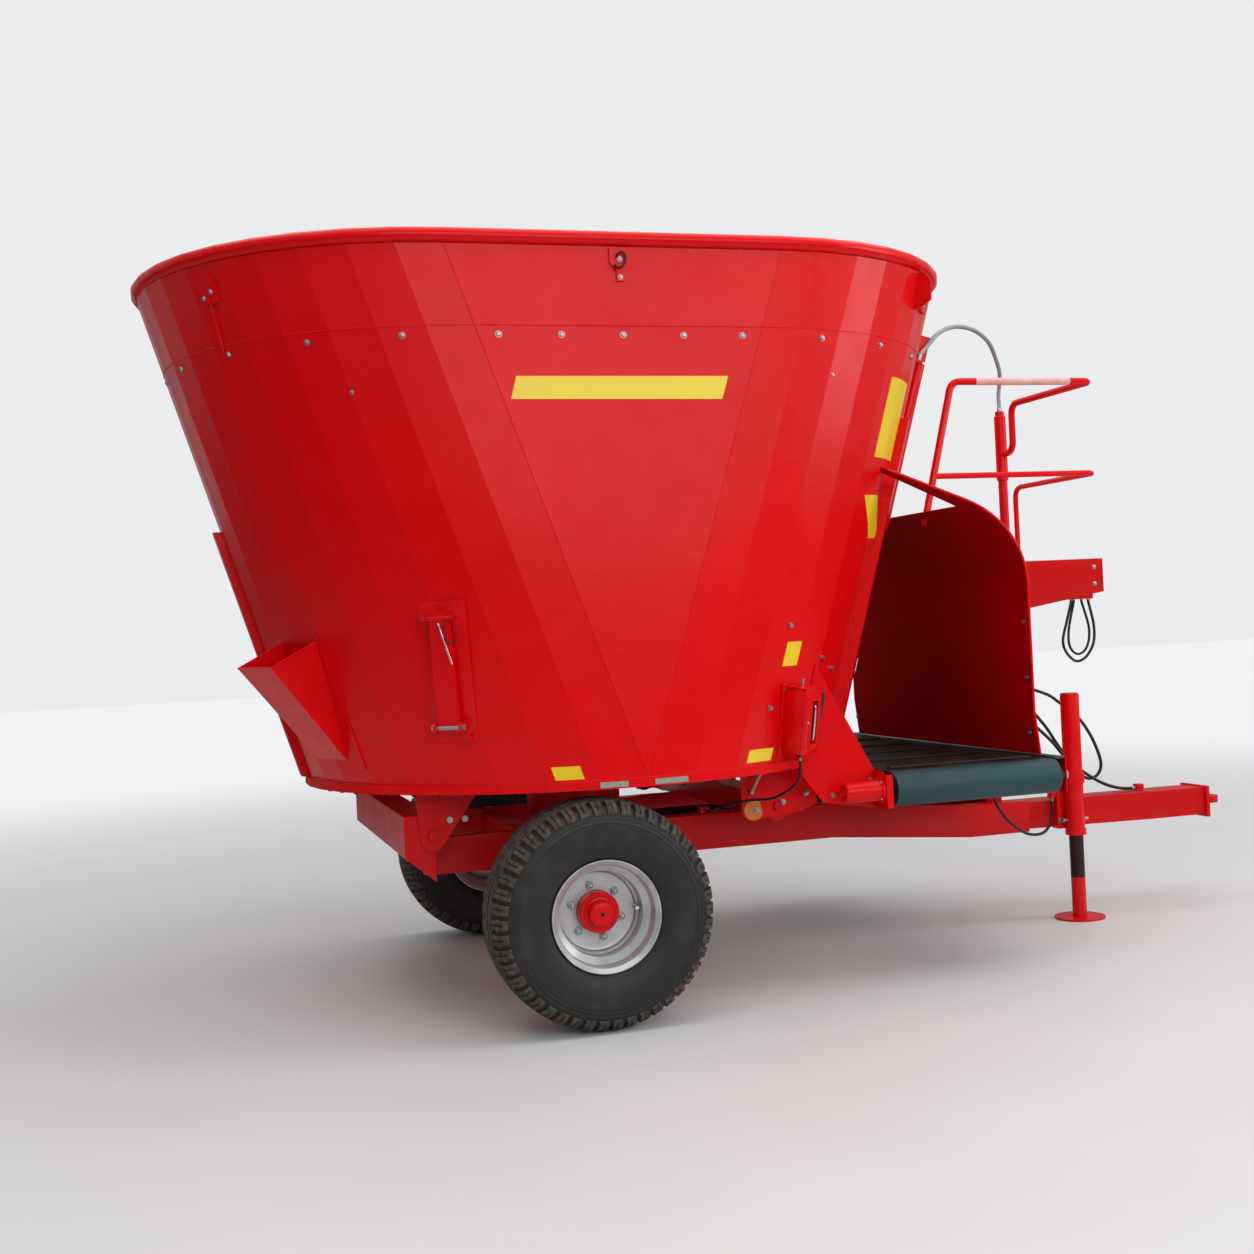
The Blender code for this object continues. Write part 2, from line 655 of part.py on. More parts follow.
def cylinder_bracket(door):
    """Two cheeks, welded to the extension ring, that hold a cylinder's upper pin."""
    frame = cylinder_frame(door, door["pin_z"])
    to_wall = (facet_frame(door["end"], door["rod_k"], door["pin_z"]).inverted() @ frame.translation).z
    shapes = []
    for u in (-0.021, 0.021):
        shapes.append(frame_box(frame, (u - 0.004, -0.030, -to_wall - 0.005), (u + 0.004, 0.090, 0.022)))
    return shapes


def make_doors(mats):
    for name, door in DOORS.items():
        make_door_frame(mats, name, door)
        make_door(mats, name, door)


# Counter-knives

def make_knives(mats):
    for name, place in KNIVES.items():
        frame = facet_frame(*place, KNIFE_HINGE_Z)
        base = frame_box(frame, (-0.105, -0.060, GAP), (0.105, 0.480, 0.006))
        slot = frame_box(frame, (-0.016, 0.050, -0.05), (0.016, 0.365, 0.05))
        ears = [frame_box(frame, (u - 0.005, -0.022, 0.004), (u + 0.005, 0.022, 0.062)) for u in (-0.052, 0.052)]
        build(f"counter_knife_plate_{name}", [base, *ears], mats["red"], [slot])
        hinge = frame @ Vector((0, 0, 0.040))
        web = frame_box(frame, (-0.040, -0.020, 0.034), (0.040, 0.446, 0.040))
        flanges = [frame_box(frame, (u - 0.003, -0.018, 0.012), (u + 0.003, 0.443, 0.037)) for u in (-0.040, 0.040)]
        outline = arc((0.0, 0.037), 0.335, 0, -38, 8) + arc((0.0, 0.037), 0.110, -38, 0, 4)
        blade = loft([[frame @ Vector((u, v, w)) for v, w in outline] for u in (-0.005, 0.005)])
        bar = cylinder(frame @ Vector((-0.055, 0.445, 0.036)), frame @ Vector((0.055, 0.445, 0.036)), 0.011, 12)
        build(f"counter_knife_{name}", [web, *flanges, blade, bar], mats["red"], pivot=hinge)


# Auger

AUGER_CORE_R = 0.160
FLIGHT_TURNS = 2.1
FLIGHT_LOW_Z = TUB_BASE_Z + 0.030
FLIGHT_TOP_Z = 2.330
FLIGHT_THICK = 0.012


def flight_radius(share):
    return 1.060 + (0.360 - 1.060) * share ** 0.85


def make_auger(mats):
    base = TUB_BASE_Z - 0.004 + 0.008
    core = cylinder((TUB_X, 0, base), (TUB_X, 0, FLIGHT_TOP_Z + 0.08), AUGER_CORE_R * 1.35, 24, AUGER_CORE_R * 0.8)
    steps = 50
    sections = []
    for i in range(steps + 1):
        share = i / steps
        a = 2 * pi * FLIGHT_TURNS * share
        z = FLIGHT_LOW_Z + (FLIGHT_TOP_Z - FLIGHT_LOW_Z) * share
        out = flight_radius(share)
        inner = AUGER_CORE_R * 0.7
        ring = []
        for r, dz in ((inner, 0), (out, 0), (out, FLIGHT_THICK), (inner, FLIGHT_THICK)):
            ring.append((TUB_X + r * cos(a), r * sin(a), z + dz))
        sections.append(ring)
    flight = loft(sections)
    build("auger", [core, flight], mats["steel"], pivot=(TUB_X, 0, base))


SHAFT_Z = 0.640
INPUT_R = 0.0175


def make_drive(mats):
    top = TUB_BASE_Z - 0.004 - FLOOR_THICK - GAP
    body = cylinder((TUB_X, 0, 0.715), (TUB_X, 0, top), 0.210, 32)
    foot = cylinder((TUB_X, 0, 0.640), (TUB_X, 0, 0.720), 0.150, 32)
    snout = cylinder((TUB_X + 0.10, 0, SHAFT_Z), (TUB_X + 0.300, 0, SHAFT_Z), 0.060, 20)
    build("gearbox", [body, foot, snout], mats["deep_red"], smooth=True)
    start = TUB_X + 0.300 + GAP
    bearing_x = AXLE_X + 2.300
    bearing_low = DRAWBAR_LOW_Z + DRAWBAR_HEIGHT + GAP
    shield = cylinder((start, 0, SHAFT_Z), (bearing_x - 0.040 - GAP, 0, SHAFT_Z), 0.045, 16)
    spline = cylinder((start + 0.02, 0, SHAFT_Z), (bearing_x + 0.150, 0, SHAFT_Z), INPUT_R, 16)
    build("drive_shaft", [shield, spline], mats["black"], smooth=True)
    block = box((bearing_x - 0.040, -0.060, bearing_low), (bearing_x + 0.040, 0.060, SHAFT_Z + 0.055))
    bore = cylinder((bearing_x - 0.1, 0, SHAFT_Z), (bearing_x + 0.1, 0, SHAFT_Z), INPUT_R + GAP, 16)
    build("drive_bearing", [block], mats["deep_red"], [bore])


# Cross conveyor and its hood

def make_conveyor(mats):
    rear = BELT_REAR_X
    front = rear + BELT_WIDTH
    outer = ROLLER_R + BELT_THICK
    loop_out = arc((ROLLER_Y, ROLLER_Z), outer, -90, 90, 12) + arc((-ROLLER_Y, ROLLER_Z), outer, 90, 270, 12)
    inner = ROLLER_R + GAP
    loop_in = arc((ROLLER_Y, ROLLER_Z), inner, -90, 90, 12) + arc((-ROLLER_Y, ROLLER_Z), inner, 90, 270, 12)
    sections = []
    for (yo, zo), (yi, zi) in zip(loop_out, loop_in):
        sections.append([(rear, yo, zo), (front, yo, zo), (front, yi, zi), (rear, yi, zi)])
    build("conveyor_belt", [loft(sections, closed=True)], mats["belt"], smooth=True)
    for side, name in ((-1, "right"), (1, "left")):
        y = side * ROLLER_Y
        tube = cylinder((rear + 0.004, y, ROLLER_Z), (front - 0.004, y, ROLLER_Z), ROLLER_R * cos(pi / 24) - GAP, 24)
        shaft = cylinder((rear - 0.038, y, ROLLER_Z), (front + 0.046, y, ROLLER_Z), 0.018, 12)
        build(f"conveyor_roller_{name}", [tube, shaft], mats["green"], smooth=True)
    motor_x = rear - 0.050
    bolts = cylinder((motor_x, -ROLLER_Y, ROLLER_Z), (motor_x - 0.170, -ROLLER_Y, ROLLER_Z), 0.042, 24)
    build("conveyor_motor", [bolts], mats["red"], smooth=True)
    cheeks = ((rear - 0.046, rear - 0.040), (front + 0.048, front + 0.054))
    z0, z1 = ROLLER_Z - 0.072, ROLLER_Z + 0.078
    shapes = [box((a, -ROLLER_Y - 0.020, z0), (b, ROLLER_Y + 0.020, z1)) for a, b in cheeks]
    for y in (-0.70, -0.25, 0.25, 0.70):
        shapes.append(box((cheeks[0][0] + 0.002, y - 0.025, ROLLER_Z - 0.035), (cheeks[1][1] - 0.002, y + 0.025, ROLLER_Z + 0.035)))
    shapes.append(box((rear + 0.01, -0.85, ROLLER_Z + 0.030), (front - 0.01, 0.85, ROLLER_Z + ROLLER_R - GAP)))
    holes = []
    for side in (-1, 1):
        holes.append(cylinder((rear - 0.10, side * ROLLER_Y, ROLLER_Z), (front + 0.10, side * ROLLER_Y, ROLLER_Z),
                              0.018 + GAP, 12))
    build("conveyor_frame", shapes, mats["deep_red"], holes)


HOOD_BEND_R = 0.260
HOOD_BEND_Z = 1.660
HOOD_BEND_END = 62  # degrees from the front face to the start of the sloping top
HOOD_SLOPE = 0.372


def hood_top_z(x):
    a = radians(HOOD_BEND_END)
    bend_x = HOOD_FRONT_X - HOOD_BEND_R + HOOD_BEND_R * cos(a)
    return HOOD_BEND_Z + HOOD_BEND_R * sin(a) + (bend_x - x) * HOOD_SLOPE


def hood_outline(sheet):
    """The hood's section from its rear edge over the bend to its lower front edge."""
    radius = HOOD_BEND_R - sheet
    front = HOOD_FRONT_X - sheet
    bend = arc((front - radius, HOOD_BEND_Z), radius, HOOD_BEND_END, 0, 8)
    rear_x = AXLE_X + 1.100
    rear_z = bend[0][1] + (bend[0][0] - rear_x) * HOOD_SLOPE
    return [(rear_x, rear_z), *bend, (front, HOOD_LOW_Z)]


def make_hood(mats):
    outer = hood_outline(0.0)
    inner = hood_outline(HOOD_SHEET)
    hood = prism_xz(outer + inner[::-1], -HOOD_HALF, HOOD_HALF)
    clear_tub = tub_body(TUB_BASE_Z - 0.1, TUB_TOP_Z, GAP * 3)
    notch = box((AXLE_X + 1.05, -0.70, 1.70), (AXLE_X + 1.82, 0.70, 2.60))
    build("conveyor_hood", [hood], mats["red"], [clear_tub, notch])


# Platform and handrails

PLATFORM_Z = 1.720
PLATFORM_FRONT_X = AXLE_X + 2.810
PLATFORM_HALF = 0.300
HANDRAIL_R = 0.0168
HANDRAIL_Z = 2.590
MIDRAIL_Z = 2.150
POST_R = 0.024
POST_Y = PLATFORM_HALF + 0.240
LEG_Y = PLATFORM_HALF + 0.120


def make_platform(mats):
    rear = HOOD_FRONT_X + GAP
    front = PLATFORM_FRONT_X
    deck = box((rear, -PLATFORM_HALF, PLATFORM_Z - 0.030), (front, PLATFORM_HALF, PLATFORM_Z))
    shapes = [deck]
    for side in (-1, 1):
        y = side * (PLATFORM_HALF - 0.003)
        outline = [(rear, PLATFORM_Z + 0.020), (front, PLATFORM_Z + 0.020), (front, PLATFORM_Z - 0.140),
                   (rear, PLATFORM_Z - 0.260)]
        shapes.append(prism_xz(outline, y - 0.003, y + 0.003))
    post_x = front - POST_R - GAP
    post = cylinder((post_x, POST_Y, PLATFORM_Z - 0.180), (post_x, POST_Y, 2.560), POST_R, 16)
    arm = box((post_x - 0.020, PLATFORM_HALF - 0.004, PLATFORM_Z - 0.120), (post_x + 0.020, POST_Y, PLATFORM_Z - 0.080))
    build("platform", [*shapes, post, arm], mats["deep_red"])
    side_y = -PLATFORM_HALF - HANDRAIL_R - GAP
    foot_x = AXLE_X + 1.860
    foot = (foot_x, side_y, hood_top_z(foot_x) + HANDRAIL_R)
    shoulder_x = AXLE_X + 2.035
    upper = [foot, (shoulder_x, side_y, HANDRAIL_Z), (post_x, side_y, HANDRAIL_Z), (post_x, LEG_Y, HANDRAIL_Z),
             (post_x, LEG_Y, 2.340), (post_x, POST_Y - POST_R - GAP, 2.340)]
    start_share = (MIDRAIL_Z - foot[2]) / (HANDRAIL_Z - foot[2])
    start_x = foot_x + (shoulder_x - foot_x) * start_share
    arm_top = PLATFORM_Z - 0.080 + GAP
    middle = [(start_x, side_y, MIDRAIL_Z), (post_x, side_y, MIDRAIL_Z), (post_x, LEG_Y, MIDRAIL_Z), (post_x, LEG_Y, arm_top)]
    shapes = [swept(rounded_path(upper, 0.055), HANDRAIL_R, 10), swept(rounded_path(middle, 0.055), HANDRAIL_R * 0.8, 8)]
    build("handrail", shapes, mats["red"], smooth=True)


# Mineral hopper, door indicator and other fittings on the tub

HOPPER_K = 7.0


def make_hopper(mats):
    """A wedge-shaped mineral chute with an open mouth, on a backing plate that follows the facets."""
    plate = wall_patch(-1, stations_between(HOPPER_K - 0.90, HOPPER_K + 0.95), 1.010, 1.560, GAP, 0.006)
    frame = facet_frame(-1, HOPPER_K, 1.300)
    outer = [(-0.230, -0.020), (-0.230, 0.006), (-0.200, 0.060), (0.120, 0.260), (0.215, 0.006), (0.215, -0.020)]
    inner = [(-0.215, 0.012), (-0.193, 0.055), (0.118, 0.254), (0.135, 0.262), (0.260, 0.012)]
    wedge = loft([[frame @ Vector((u, v, w)) for v, w in outer] for u in (-0.120, 0.120)])
    hollow = loft([[frame @ Vector((u, v, w)) for v, w in inner] for u in (-0.116, 0.116)])
    build("mineral_hopper", [plate, wedge], mats["red"], [hollow, tub_body(0.9, 1.8, GAP)])


def make_fittings(mats):
    frame = facet_frame(1, 3.35, 1.120, 0.0)
    body = frame_box(frame, (-0.055, -0.130, GAP), (0.060, 0.135, 0.105))
    slot = frame_box(frame, (0.0, -0.090, 0.085), (0.038, 0.085, 0.120))
    build("door_indicator_box", [body], mats["red"], [slot])


def make_ladder(mats):
    """Two stringers with rungs, on the far side of the platform."""
    side = PLATFORM_HALF + GAP
    feet = side + 0.110
    shapes = []
    for x in (PLATFORM_FRONT_X - 0.560, PLATFORM_FRONT_X - 0.200):
        outline = [(side, PLATFORM_Z - 0.110), (side + 0.040, PLATFORM_Z - 0.110), (feet + 0.040, 0.620), (feet, 0.620)]
        shapes.append(prism_yz(outline, x - 0.010, x + 0.010))
    for i in range(4):
        share = (i + 0.5) / 4
        z = 0.640 + (PLATFORM_Z - 0.2 - 0.640) * share
        y = feet + 0.020 + (side - feet) * (z - 0.620) / (PLATFORM_Z - 0.110 - 0.620)
        shapes.append(box((PLATFORM_FRONT_X - 0.565, y - 0.014, z - 0.014), (PLATFORM_FRONT_X - 0.195, y + 0.014, z + 0.014)))
    build("ladder", shapes, mats["red"])


# Parking jack

def make_jack(mats):
    profile = [(JACK_LEG_R + GAP, 0.0), (JACK_TUBE_R, 0.0), (JACK_TUBE_R, JACK_TOP_Z - JACK_TUBE_LOW_Z),
               (0.0, JACK_TOP_Z - JACK_TUBE_LOW_Z), (0.0, JACK_TOP_Z - JACK_TUBE_LOW_Z - 0.012),
               (JACK_LEG_R + GAP, JACK_TOP_Z - JACK_TUBE_LOW_Z - 0.012)]
    tube = turned((JACK_X, JACK_Y, JACK_TUBE_LOW_Z), (0, 0, 1), profile, 28)
    bracket_y = -DRAWBAR_WIDTH / 2 - GAP
    bracket = box((JACK_X - 0.070, JACK_Y + JACK_TUBE_R - 0.006, DRAWBAR_LOW_Z + 0.004), (JACK_X + 0.070, bracket_y, 0.690))
    build("jack_tube", [tube, bracket], mats["red"], smooth=True)
    leg_top = JACK_TOP_Z - 0.040
    leg = cylinder((JACK_X, JACK_Y, FOOT_THICK - 0.002), (JACK_X, JACK_Y, 0.660), JACK_LEG_R, 28)
    foot = cylinder((JACK_X, JACK_Y, 0.0), (JACK_X, JACK_Y, FOOT_THICK), FOOT_R, 32)
    build("jack_leg", [leg, foot], mats["red"], smooth=True, pivot=(JACK_X, JACK_Y, 0))


def main():
    clear_scene()
    mats = make_materials()
    make_chassis(mats)
    make_supports(mats)
    make_drawbar(mats)
    make_axle(mats)
    make_wheels(mats)
    make_tub(mats)
    make_doors(mats)
    make_knives(mats)
    make_auger(mats)
    make_drive(mats)
    make_conveyor(mats)
    make_hood(mats)
    make_platform(mats)
    make_hopper(mats)
    make_fittings(mats)
    make_ladder(mats)
    make_jack(mats)


main()
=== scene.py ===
# %% [markdown]
# # A single-auger feed mixer wagon
#
# A vertical feed mixer is a tall oval tub on two wheels. One screw stands on the floor of the tub, and a
# cross conveyor at the front carries the mixed feed out to either side. The frame that is loaded here holds
# the rigid solids: this lesson gives them their finishes, and adds what is too fine for the solids, such as
# the tread of the tyres, the bolts, the weld beads and the hoses.

from math import atan2, cos, pi, radians, sin

import bmesh
import bpy
from mathutils import Matrix, Vector


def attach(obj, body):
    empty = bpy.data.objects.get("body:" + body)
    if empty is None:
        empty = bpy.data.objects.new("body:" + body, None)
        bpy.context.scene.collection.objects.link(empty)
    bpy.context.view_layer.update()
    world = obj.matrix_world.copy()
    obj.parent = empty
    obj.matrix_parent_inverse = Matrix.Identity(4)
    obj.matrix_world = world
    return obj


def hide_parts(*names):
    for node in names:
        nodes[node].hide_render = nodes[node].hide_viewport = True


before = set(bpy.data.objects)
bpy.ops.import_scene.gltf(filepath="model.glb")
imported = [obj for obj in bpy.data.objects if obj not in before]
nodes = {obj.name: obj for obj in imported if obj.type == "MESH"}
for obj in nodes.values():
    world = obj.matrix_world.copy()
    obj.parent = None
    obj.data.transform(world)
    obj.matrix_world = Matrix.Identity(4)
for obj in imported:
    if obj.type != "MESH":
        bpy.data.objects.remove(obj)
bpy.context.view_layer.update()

# %% [markdown]
# ## The camera
#
# The photograph was taken from eye height beside the wagon, a little behind its axle, and the camera leans
# by almost three degrees. The lens follows from how fast the parallel edges run together. A focal length in
# pixels becomes millimetres once the width of the sensor is chosen.

# %% Camera
FOCAL_PX, PHOTO_PX, SENSOR_MM = 1572.9, 1254, 36
CAMERA_AT = Vector((-2.5935, -6.881, 1.522))
yaw, lean = radians(16.851), radians(2.84)


def new_object(name, data):
    made = bpy.data.objects.new(name, data)
    bpy.context.scene.collection.objects.link(made)
    return made


ahead = Vector((sin(yaw), cos(yaw), 0))
level = Vector((cos(yaw), -sin(yaw), 0))
up = Vector((0, 0, 1))
camera_right = level * cos(lean) - up * sin(lean)
camera_up = level * sin(lean) + up * cos(lean)
camera = new_object("photo_camera", bpy.data.cameras.new("photo_camera"))
camera.data.sensor_width = SENSOR_MM
camera.data.lens = FOCAL_PX / PHOTO_PX * SENSOR_MM
camera.matrix_world = Matrix.Translation(CAMERA_AT) @ Matrix(
    (camera_right, camera_up, -ahead)).transposed().to_4x4()
bpy.context.scene.camera = camera
bpy.context.scene.view_settings.view_transform = "Standard"
print("lens:", round(camera.data.lens, 2), "mm")

# %% [markdown]
# ## Helpers for finishes
#
# Colours are written as sRGB hex values, as a paint shop gives them, and one function turns them to the
# linear values that the renderer works with. A second function adds one node, with its settings and links.
# Patterns read object coordinates, in metres, so a lump's size in millimetres gives the noise its scale.

# %% Finish helpers


def linear(hex_colour):
    """An sRGB hex colour as linear red, green, blue and alpha."""
    parts = [int(hex_colour[i:i + 2], 16) / 255 for i in (1, 3, 5)]
    return (*[p / 12.92 if p <= 0.04045 else ((p + 0.055) / 1.055) ** 2.4 for p in parts], 1.0)


def node(tree, kind, sockets=None, **settings):
    """Adds a node. A socket's value is a number, a colour, or another node's output to link from."""
    made = tree.nodes.new(kind)
    for name, value in settings.items():
        setattr(made, name, value)
    for name, value in (sockets or {}).items():
        if isinstance(value, bpy.types.NodeSocket):
            tree.links.new(value, made.inputs[name])
        else:
            made.inputs[name].default_value = value
    return made


class Finish:
    """A finish being built: its material, its tree, its shader and where its patterns are read."""

    def __init__(self, name, **shader_values):
        self.material = bpy.data.materials.new(name)
        self.material.use_nodes = True
        self.tree = self.material.node_tree
        self.shader = self.tree.nodes["Principled BSDF"]
        for socket, value in shader_values.items():
            self.shader.inputs[socket.replace("_", " ")].default_value = value
        self.place = self.tree.nodes.new("ShaderNodeTexCoord").outputs["Object"]

    def noise(self, size_mm, detail=3.0, stretch=None):
        """Soft noise whose lumps are size_mm across, drawn out along an axis where stretch says so."""
        place = self.place
        if stretch:
            place = node(self.tree, "ShaderNodeMapping", {"Vector": place, "Scale": stretch}).outputs[0]
        made = node(self.tree, "ShaderNodeTexNoise", {"Vector": place, "Scale": 1000 / size_mm,
                                                      "Detail": detail})
        return made.outputs["Fac"]

    def spread(self, value, low, high, to_low=0.0, to_high=1.0):
        """A value between low and high, spread over another range and held at its ends."""
        return node(self.tree, "ShaderNodeMapRange", {"Value": value, "From Min": low, "From Max": high,
                                                      "To Min": to_low, "To Max": to_high}).outputs[0]

    def times(self, first, second):
        made = node(self.tree, "ShaderNodeMath", operation="MULTIPLY")
        for socket, value in zip(made.inputs, (first, second)):
            if isinstance(value, bpy.types.NodeSocket):
                self.tree.links.new(value, socket)
            else:
                socket.default_value = value
        return made.outputs[0]

    def mixed(self, share, low, high):
        """Two colours mixed by a share. Each is a hex value or another colour's output."""
        made = node(self.tree, "ShaderNodeMix", {"Factor": share}, data_type="RGBA")
        for socket, value in zip(made.inputs[6:8], (low, high)):
            if isinstance(value, str):
                socket.default_value = linear(value)
            else:
                self.tree.links.new(value, socket)
        return made.outputs[2]

    def height(self, from_z, to_z):
        """A share that runs from 1 at from_z to 0 at to_z."""
        split = node(self.tree, "ShaderNodeSeparateXYZ", {"Vector": self.place})
        return self.spread(split.outputs["Z"], from_z, to_z, 1.0, 0.0)

    def drive(self, socket, output):
        self.tree.links.new(output, self.shader.inputs[socket])

    def colour(self, output):
        self.drive("Base Color", output)

    def rough(self, output):
        self.drive("Roughness", output)

    def mottle(self, lumps, dark, light, rough_low, rough_high, patches=(0.0, 1.0)):
        """Colour and roughness that follow the same lumps. The colour turns within the range of patches."""
        self.colour(self.mixed(self.spread(lumps, *patches), dark, light))
        self.rough(self.spread(lumps, 0.3, 0.7, rough_low, rough_high))
        return self.material

    def bump(self, height, depth_mm, strength=1.0):
        made = node(self.tree, "ShaderNodeBump", {"Height": height, "Distance": depth_mm / 1000,
                                                  "Strength": strength})
        self.drive("Normal", made.outputs[0])


# %% [markdown]
# ## Floor and light
#
# The floor is pale and plain, and a glow that only the camera sees takes it up to the backdrop's colour as
# it recedes. Two big soft lamps stand in for a bright hall: one overhead, which gives the rims and the hood
# their light upper faces, and one beside the camera, which the flat side of the tub faces. A third, weaker
# one on the hitch side lets each press-bent flat take a slightly different tone.

# %% Floor and light
BACKDROP = linear("#F4F5F6")
BACKDROP_LEVEL, FILL_LEVEL, GLOW_LEVEL = 0.92, 0.42, 0.9
GLOW_FROM_M, GLOW_TO_M = 3.0, 11.0
floor_mesh = bpy.data.meshes.new("studio_floor")
floor_bm = bmesh.new()
bmesh.ops.create_grid(floor_bm, x_segments=1, y_segments=1, size=40)
floor_bm.to_mesh(floor_mesh)
floor_bm.free()
studio_floor = new_object("studio_floor", floor_mesh)
floor_finish = Finish("pale_studio_floor", Roughness=0.55)
away = node(floor_finish.tree, "ShaderNodeVectorMath", {0: floor_finish.place}, operation="LENGTH")
far = floor_finish.spread(away.outputs["Value"], GLOW_FROM_M, GLOW_TO_M)
near_floor = floor_finish.mixed(floor_finish.noise(900), "#D6D6D6", "#E0E0E0")
floor_finish.colour(floor_finish.mixed(far, near_floor, "#101010"))
floor_seen = node(floor_finish.tree, "ShaderNodeLightPath").outputs["Is Camera Ray"]
glow = floor_finish.times(floor_finish.times(far, floor_seen), GLOW_LEVEL)
floor_finish.drive("Emission Strength", glow)
floor_finish.shader.inputs["Emission Color"].default_value = BACKDROP
floor_mesh.materials.append(floor_finish.material)


def soft_lamp(name, at, aim, size, watts):
    data = bpy.data.lights.new(name, "AREA")
    data.shape = "RECTANGLE"
    data.size, data.size_y = size
    data.energy = watts
    lamp = new_object(name, data)
    lamp.location = at
    lamp.rotation_euler = (Vector(aim) - Vector(at)).to_track_quat("-Z", "Y").to_euler()


soft_lamp("overhead", (0, -0.5, 7.0), (0, 0, 0), (10, 7), 400)
soft_lamp("near_side", (0.5, -9, 4.5), (0, 0, 1.4), (9, 4), 270)
soft_lamp("hitch_side", (8, -4, 4.0), (0, 0, 1.4), (4, 4), 200)
world = bpy.data.worlds.new("studio")
bpy.context.scene.world = world
world.use_nodes = True
background = world.node_tree.nodes["Background"]
background.inputs["Color"].default_value = BACKDROP
seen = node(world.node_tree, "ShaderNodeLightPath").outputs["Is Camera Ray"]
level = node(world.node_tree, "ShaderNodeMapRange",
             {"Value": seen, "To Min": FILL_LEVEL, "To Max": BACKDROP_LEVEL})
world.node_tree.links.new(level.outputs[0], background.inputs["Strength"])

# %% [markdown]
# ## The red enamel
#
# The tub is sheet steel with two coats of sprayed gloss enamel. The eye sees an even, deep red under a
# clear top coat. Thin sheet is never quite flat, so a very shallow, slow waviness bends the reflections,
# and the spray leaves the gloss a little uneven. Road dust settles near the bottom ring. Inside the hood,
# the paint is darker and duller: painted shade, since the hood's roof shades it. One flat colour would look
# like plastic, so two near tones are mixed by a noise as large as a panel.

# %% Red enamels


def enamel(name, deep, bright, roughness, dust_top_z, dust_share):
    """Sprayed enamel in two near tones, with road dust up to a height."""
    made = Finish(name, Coat_Weight=0.05, Coat_Roughness=0.07, Specular_IOR_Level=0.16)
    body = made.mixed(made.noise(850, 2), deep, bright)
    dust = made.times(made.height(dust_top_z - 0.45, dust_top_z), made.spread(made.noise(60, 6), 0.45, 0.75))
    made.colour(made.mixed(made.times(dust, dust_share), body, "#7A4A3C"))
    made.rough(made.spread(made.noise(140, 4), 0.3, 0.7, roughness - 0.04, roughness + 0.06))
    made.bump(made.noise(420, 1), 2.2, 0.5)
    return made.material


red_enamel = enamel("sprayed_red_enamel", "#D4050C", "#E9080F", 0.27, 1.15, 0.06)
chassis_enamel = enamel("brushed_red_chassis_enamel", "#BE060C", "#D4080E", 0.36, 0.85, 0.15)
# The hood's inside: a darker, duller red that is painted shade under the hood's roof.
hood_inside_shade = Finish("painted_shade_hood_inside_enamel", Roughness=0.7, Specular_IOR_Level=0.02)
hood_inside_shade.colour(hood_inside_shade.mixed(hood_inside_shade.noise(260, 4), "#9A0308", "#BC0409"))
hood_inside_shade.bump(hood_inside_shade.noise(420, 1), 1.5, 0.5)

# %% [markdown]
# ## Steels
#
# Bare metals differ by how they were finished. Rolled stainless sheet shows fine lines along the rolling
# direction. Zinc plating is grey with a faint crystal mottle. Hard chrome is a mirror. The auger is plain
# steel that feed has polished in use, so it is brighter where it rubs, with brown stains between. One
# function makes them all, because in each the same grain moves both the colour and the roughness.

# %% Bare metals


def metal(name, dark, light, rough_low, rough_high, grain_mm, stretch=None, depth_mm=0.0):
    made = Finish(name, Metallic=1.0)
    grain = made.noise(grain_mm, 5, stretch)
    if depth_mm:
        made.bump(grain, depth_mm, 0.6)
    return made.mottle(grain, dark, light, rough_low, rough_high)


# Lines 0.3 mm apart are too fine to show here, so they are drawn at about 4 mm.
stainless = metal("rolled_stainless_sheet", "#9FA5A9", "#C3C8CB", 0.22, 0.4, 60, (14.0, 14.0, 0.6), 0.05)
zinc = metal("zinc_plated_steel", "#8E9192", "#BFC2C3", 0.28, 0.48, 9)
chrome = metal("hard_chromed_rod", "#C6C8CA", "#DADCDD", 0.05, 0.1, 40)
auger_steel = metal("feed_polished_auger_steel", "#6E6259", "#A29C95", 0.25, 0.55, 130, None, 0.4)
oxide_steel = metal("oiled_black_bolt_steel", "#2A2827", "#4A4644", 0.35, 0.55, 12)

# %% [markdown]
# ## Rubber and plastics
#
# Moulded rubber is nearly black and dull. A tyre picks up grey-brown dust in its tread, which the noise
# puts on in patches, and it gets a fine skin so that it doesn't look like glass. The belt is rubber on a
# woven carcass, browned by feed, and dark green where it turns over its drums. Its weave could be modelled
# thread by thread, but two crossed bands of waves in the bump look the same here. Hoses are extruded, so
# they are smoother.

# %% Rubber and plastics


def rubber(name, dark, dusty, size_mm, roughness, low=0.45, high=0.75):
    made = Finish(name, Specular_IOR_Level=0.4)
    made.bump(made.noise(3.5, 3), 0.35, 0.5)
    return made.mottle(made.noise(size_mm, 6), dark, dusty, roughness - 0.06, roughness + 0.08, (low, high))


tyre_wall = rubber("moulded_tyre_sidewall", "#1D1C1D", "#33302E", 90, 0.5, 0.5, 0.85)
tyre_tread = rubber("dusty_tyre_tread", "#2A2726", "#5B5148", 22, 0.8, 0.35, 0.7)
hose_rubber = rubber("extruded_hose_rubber", "#151516", "#2A2928", 30, 0.4, 0.5, 0.8)
lanyard_rubber = rubber("black_lanyard_cord", "#141414", "#262626", 8, 0.55)


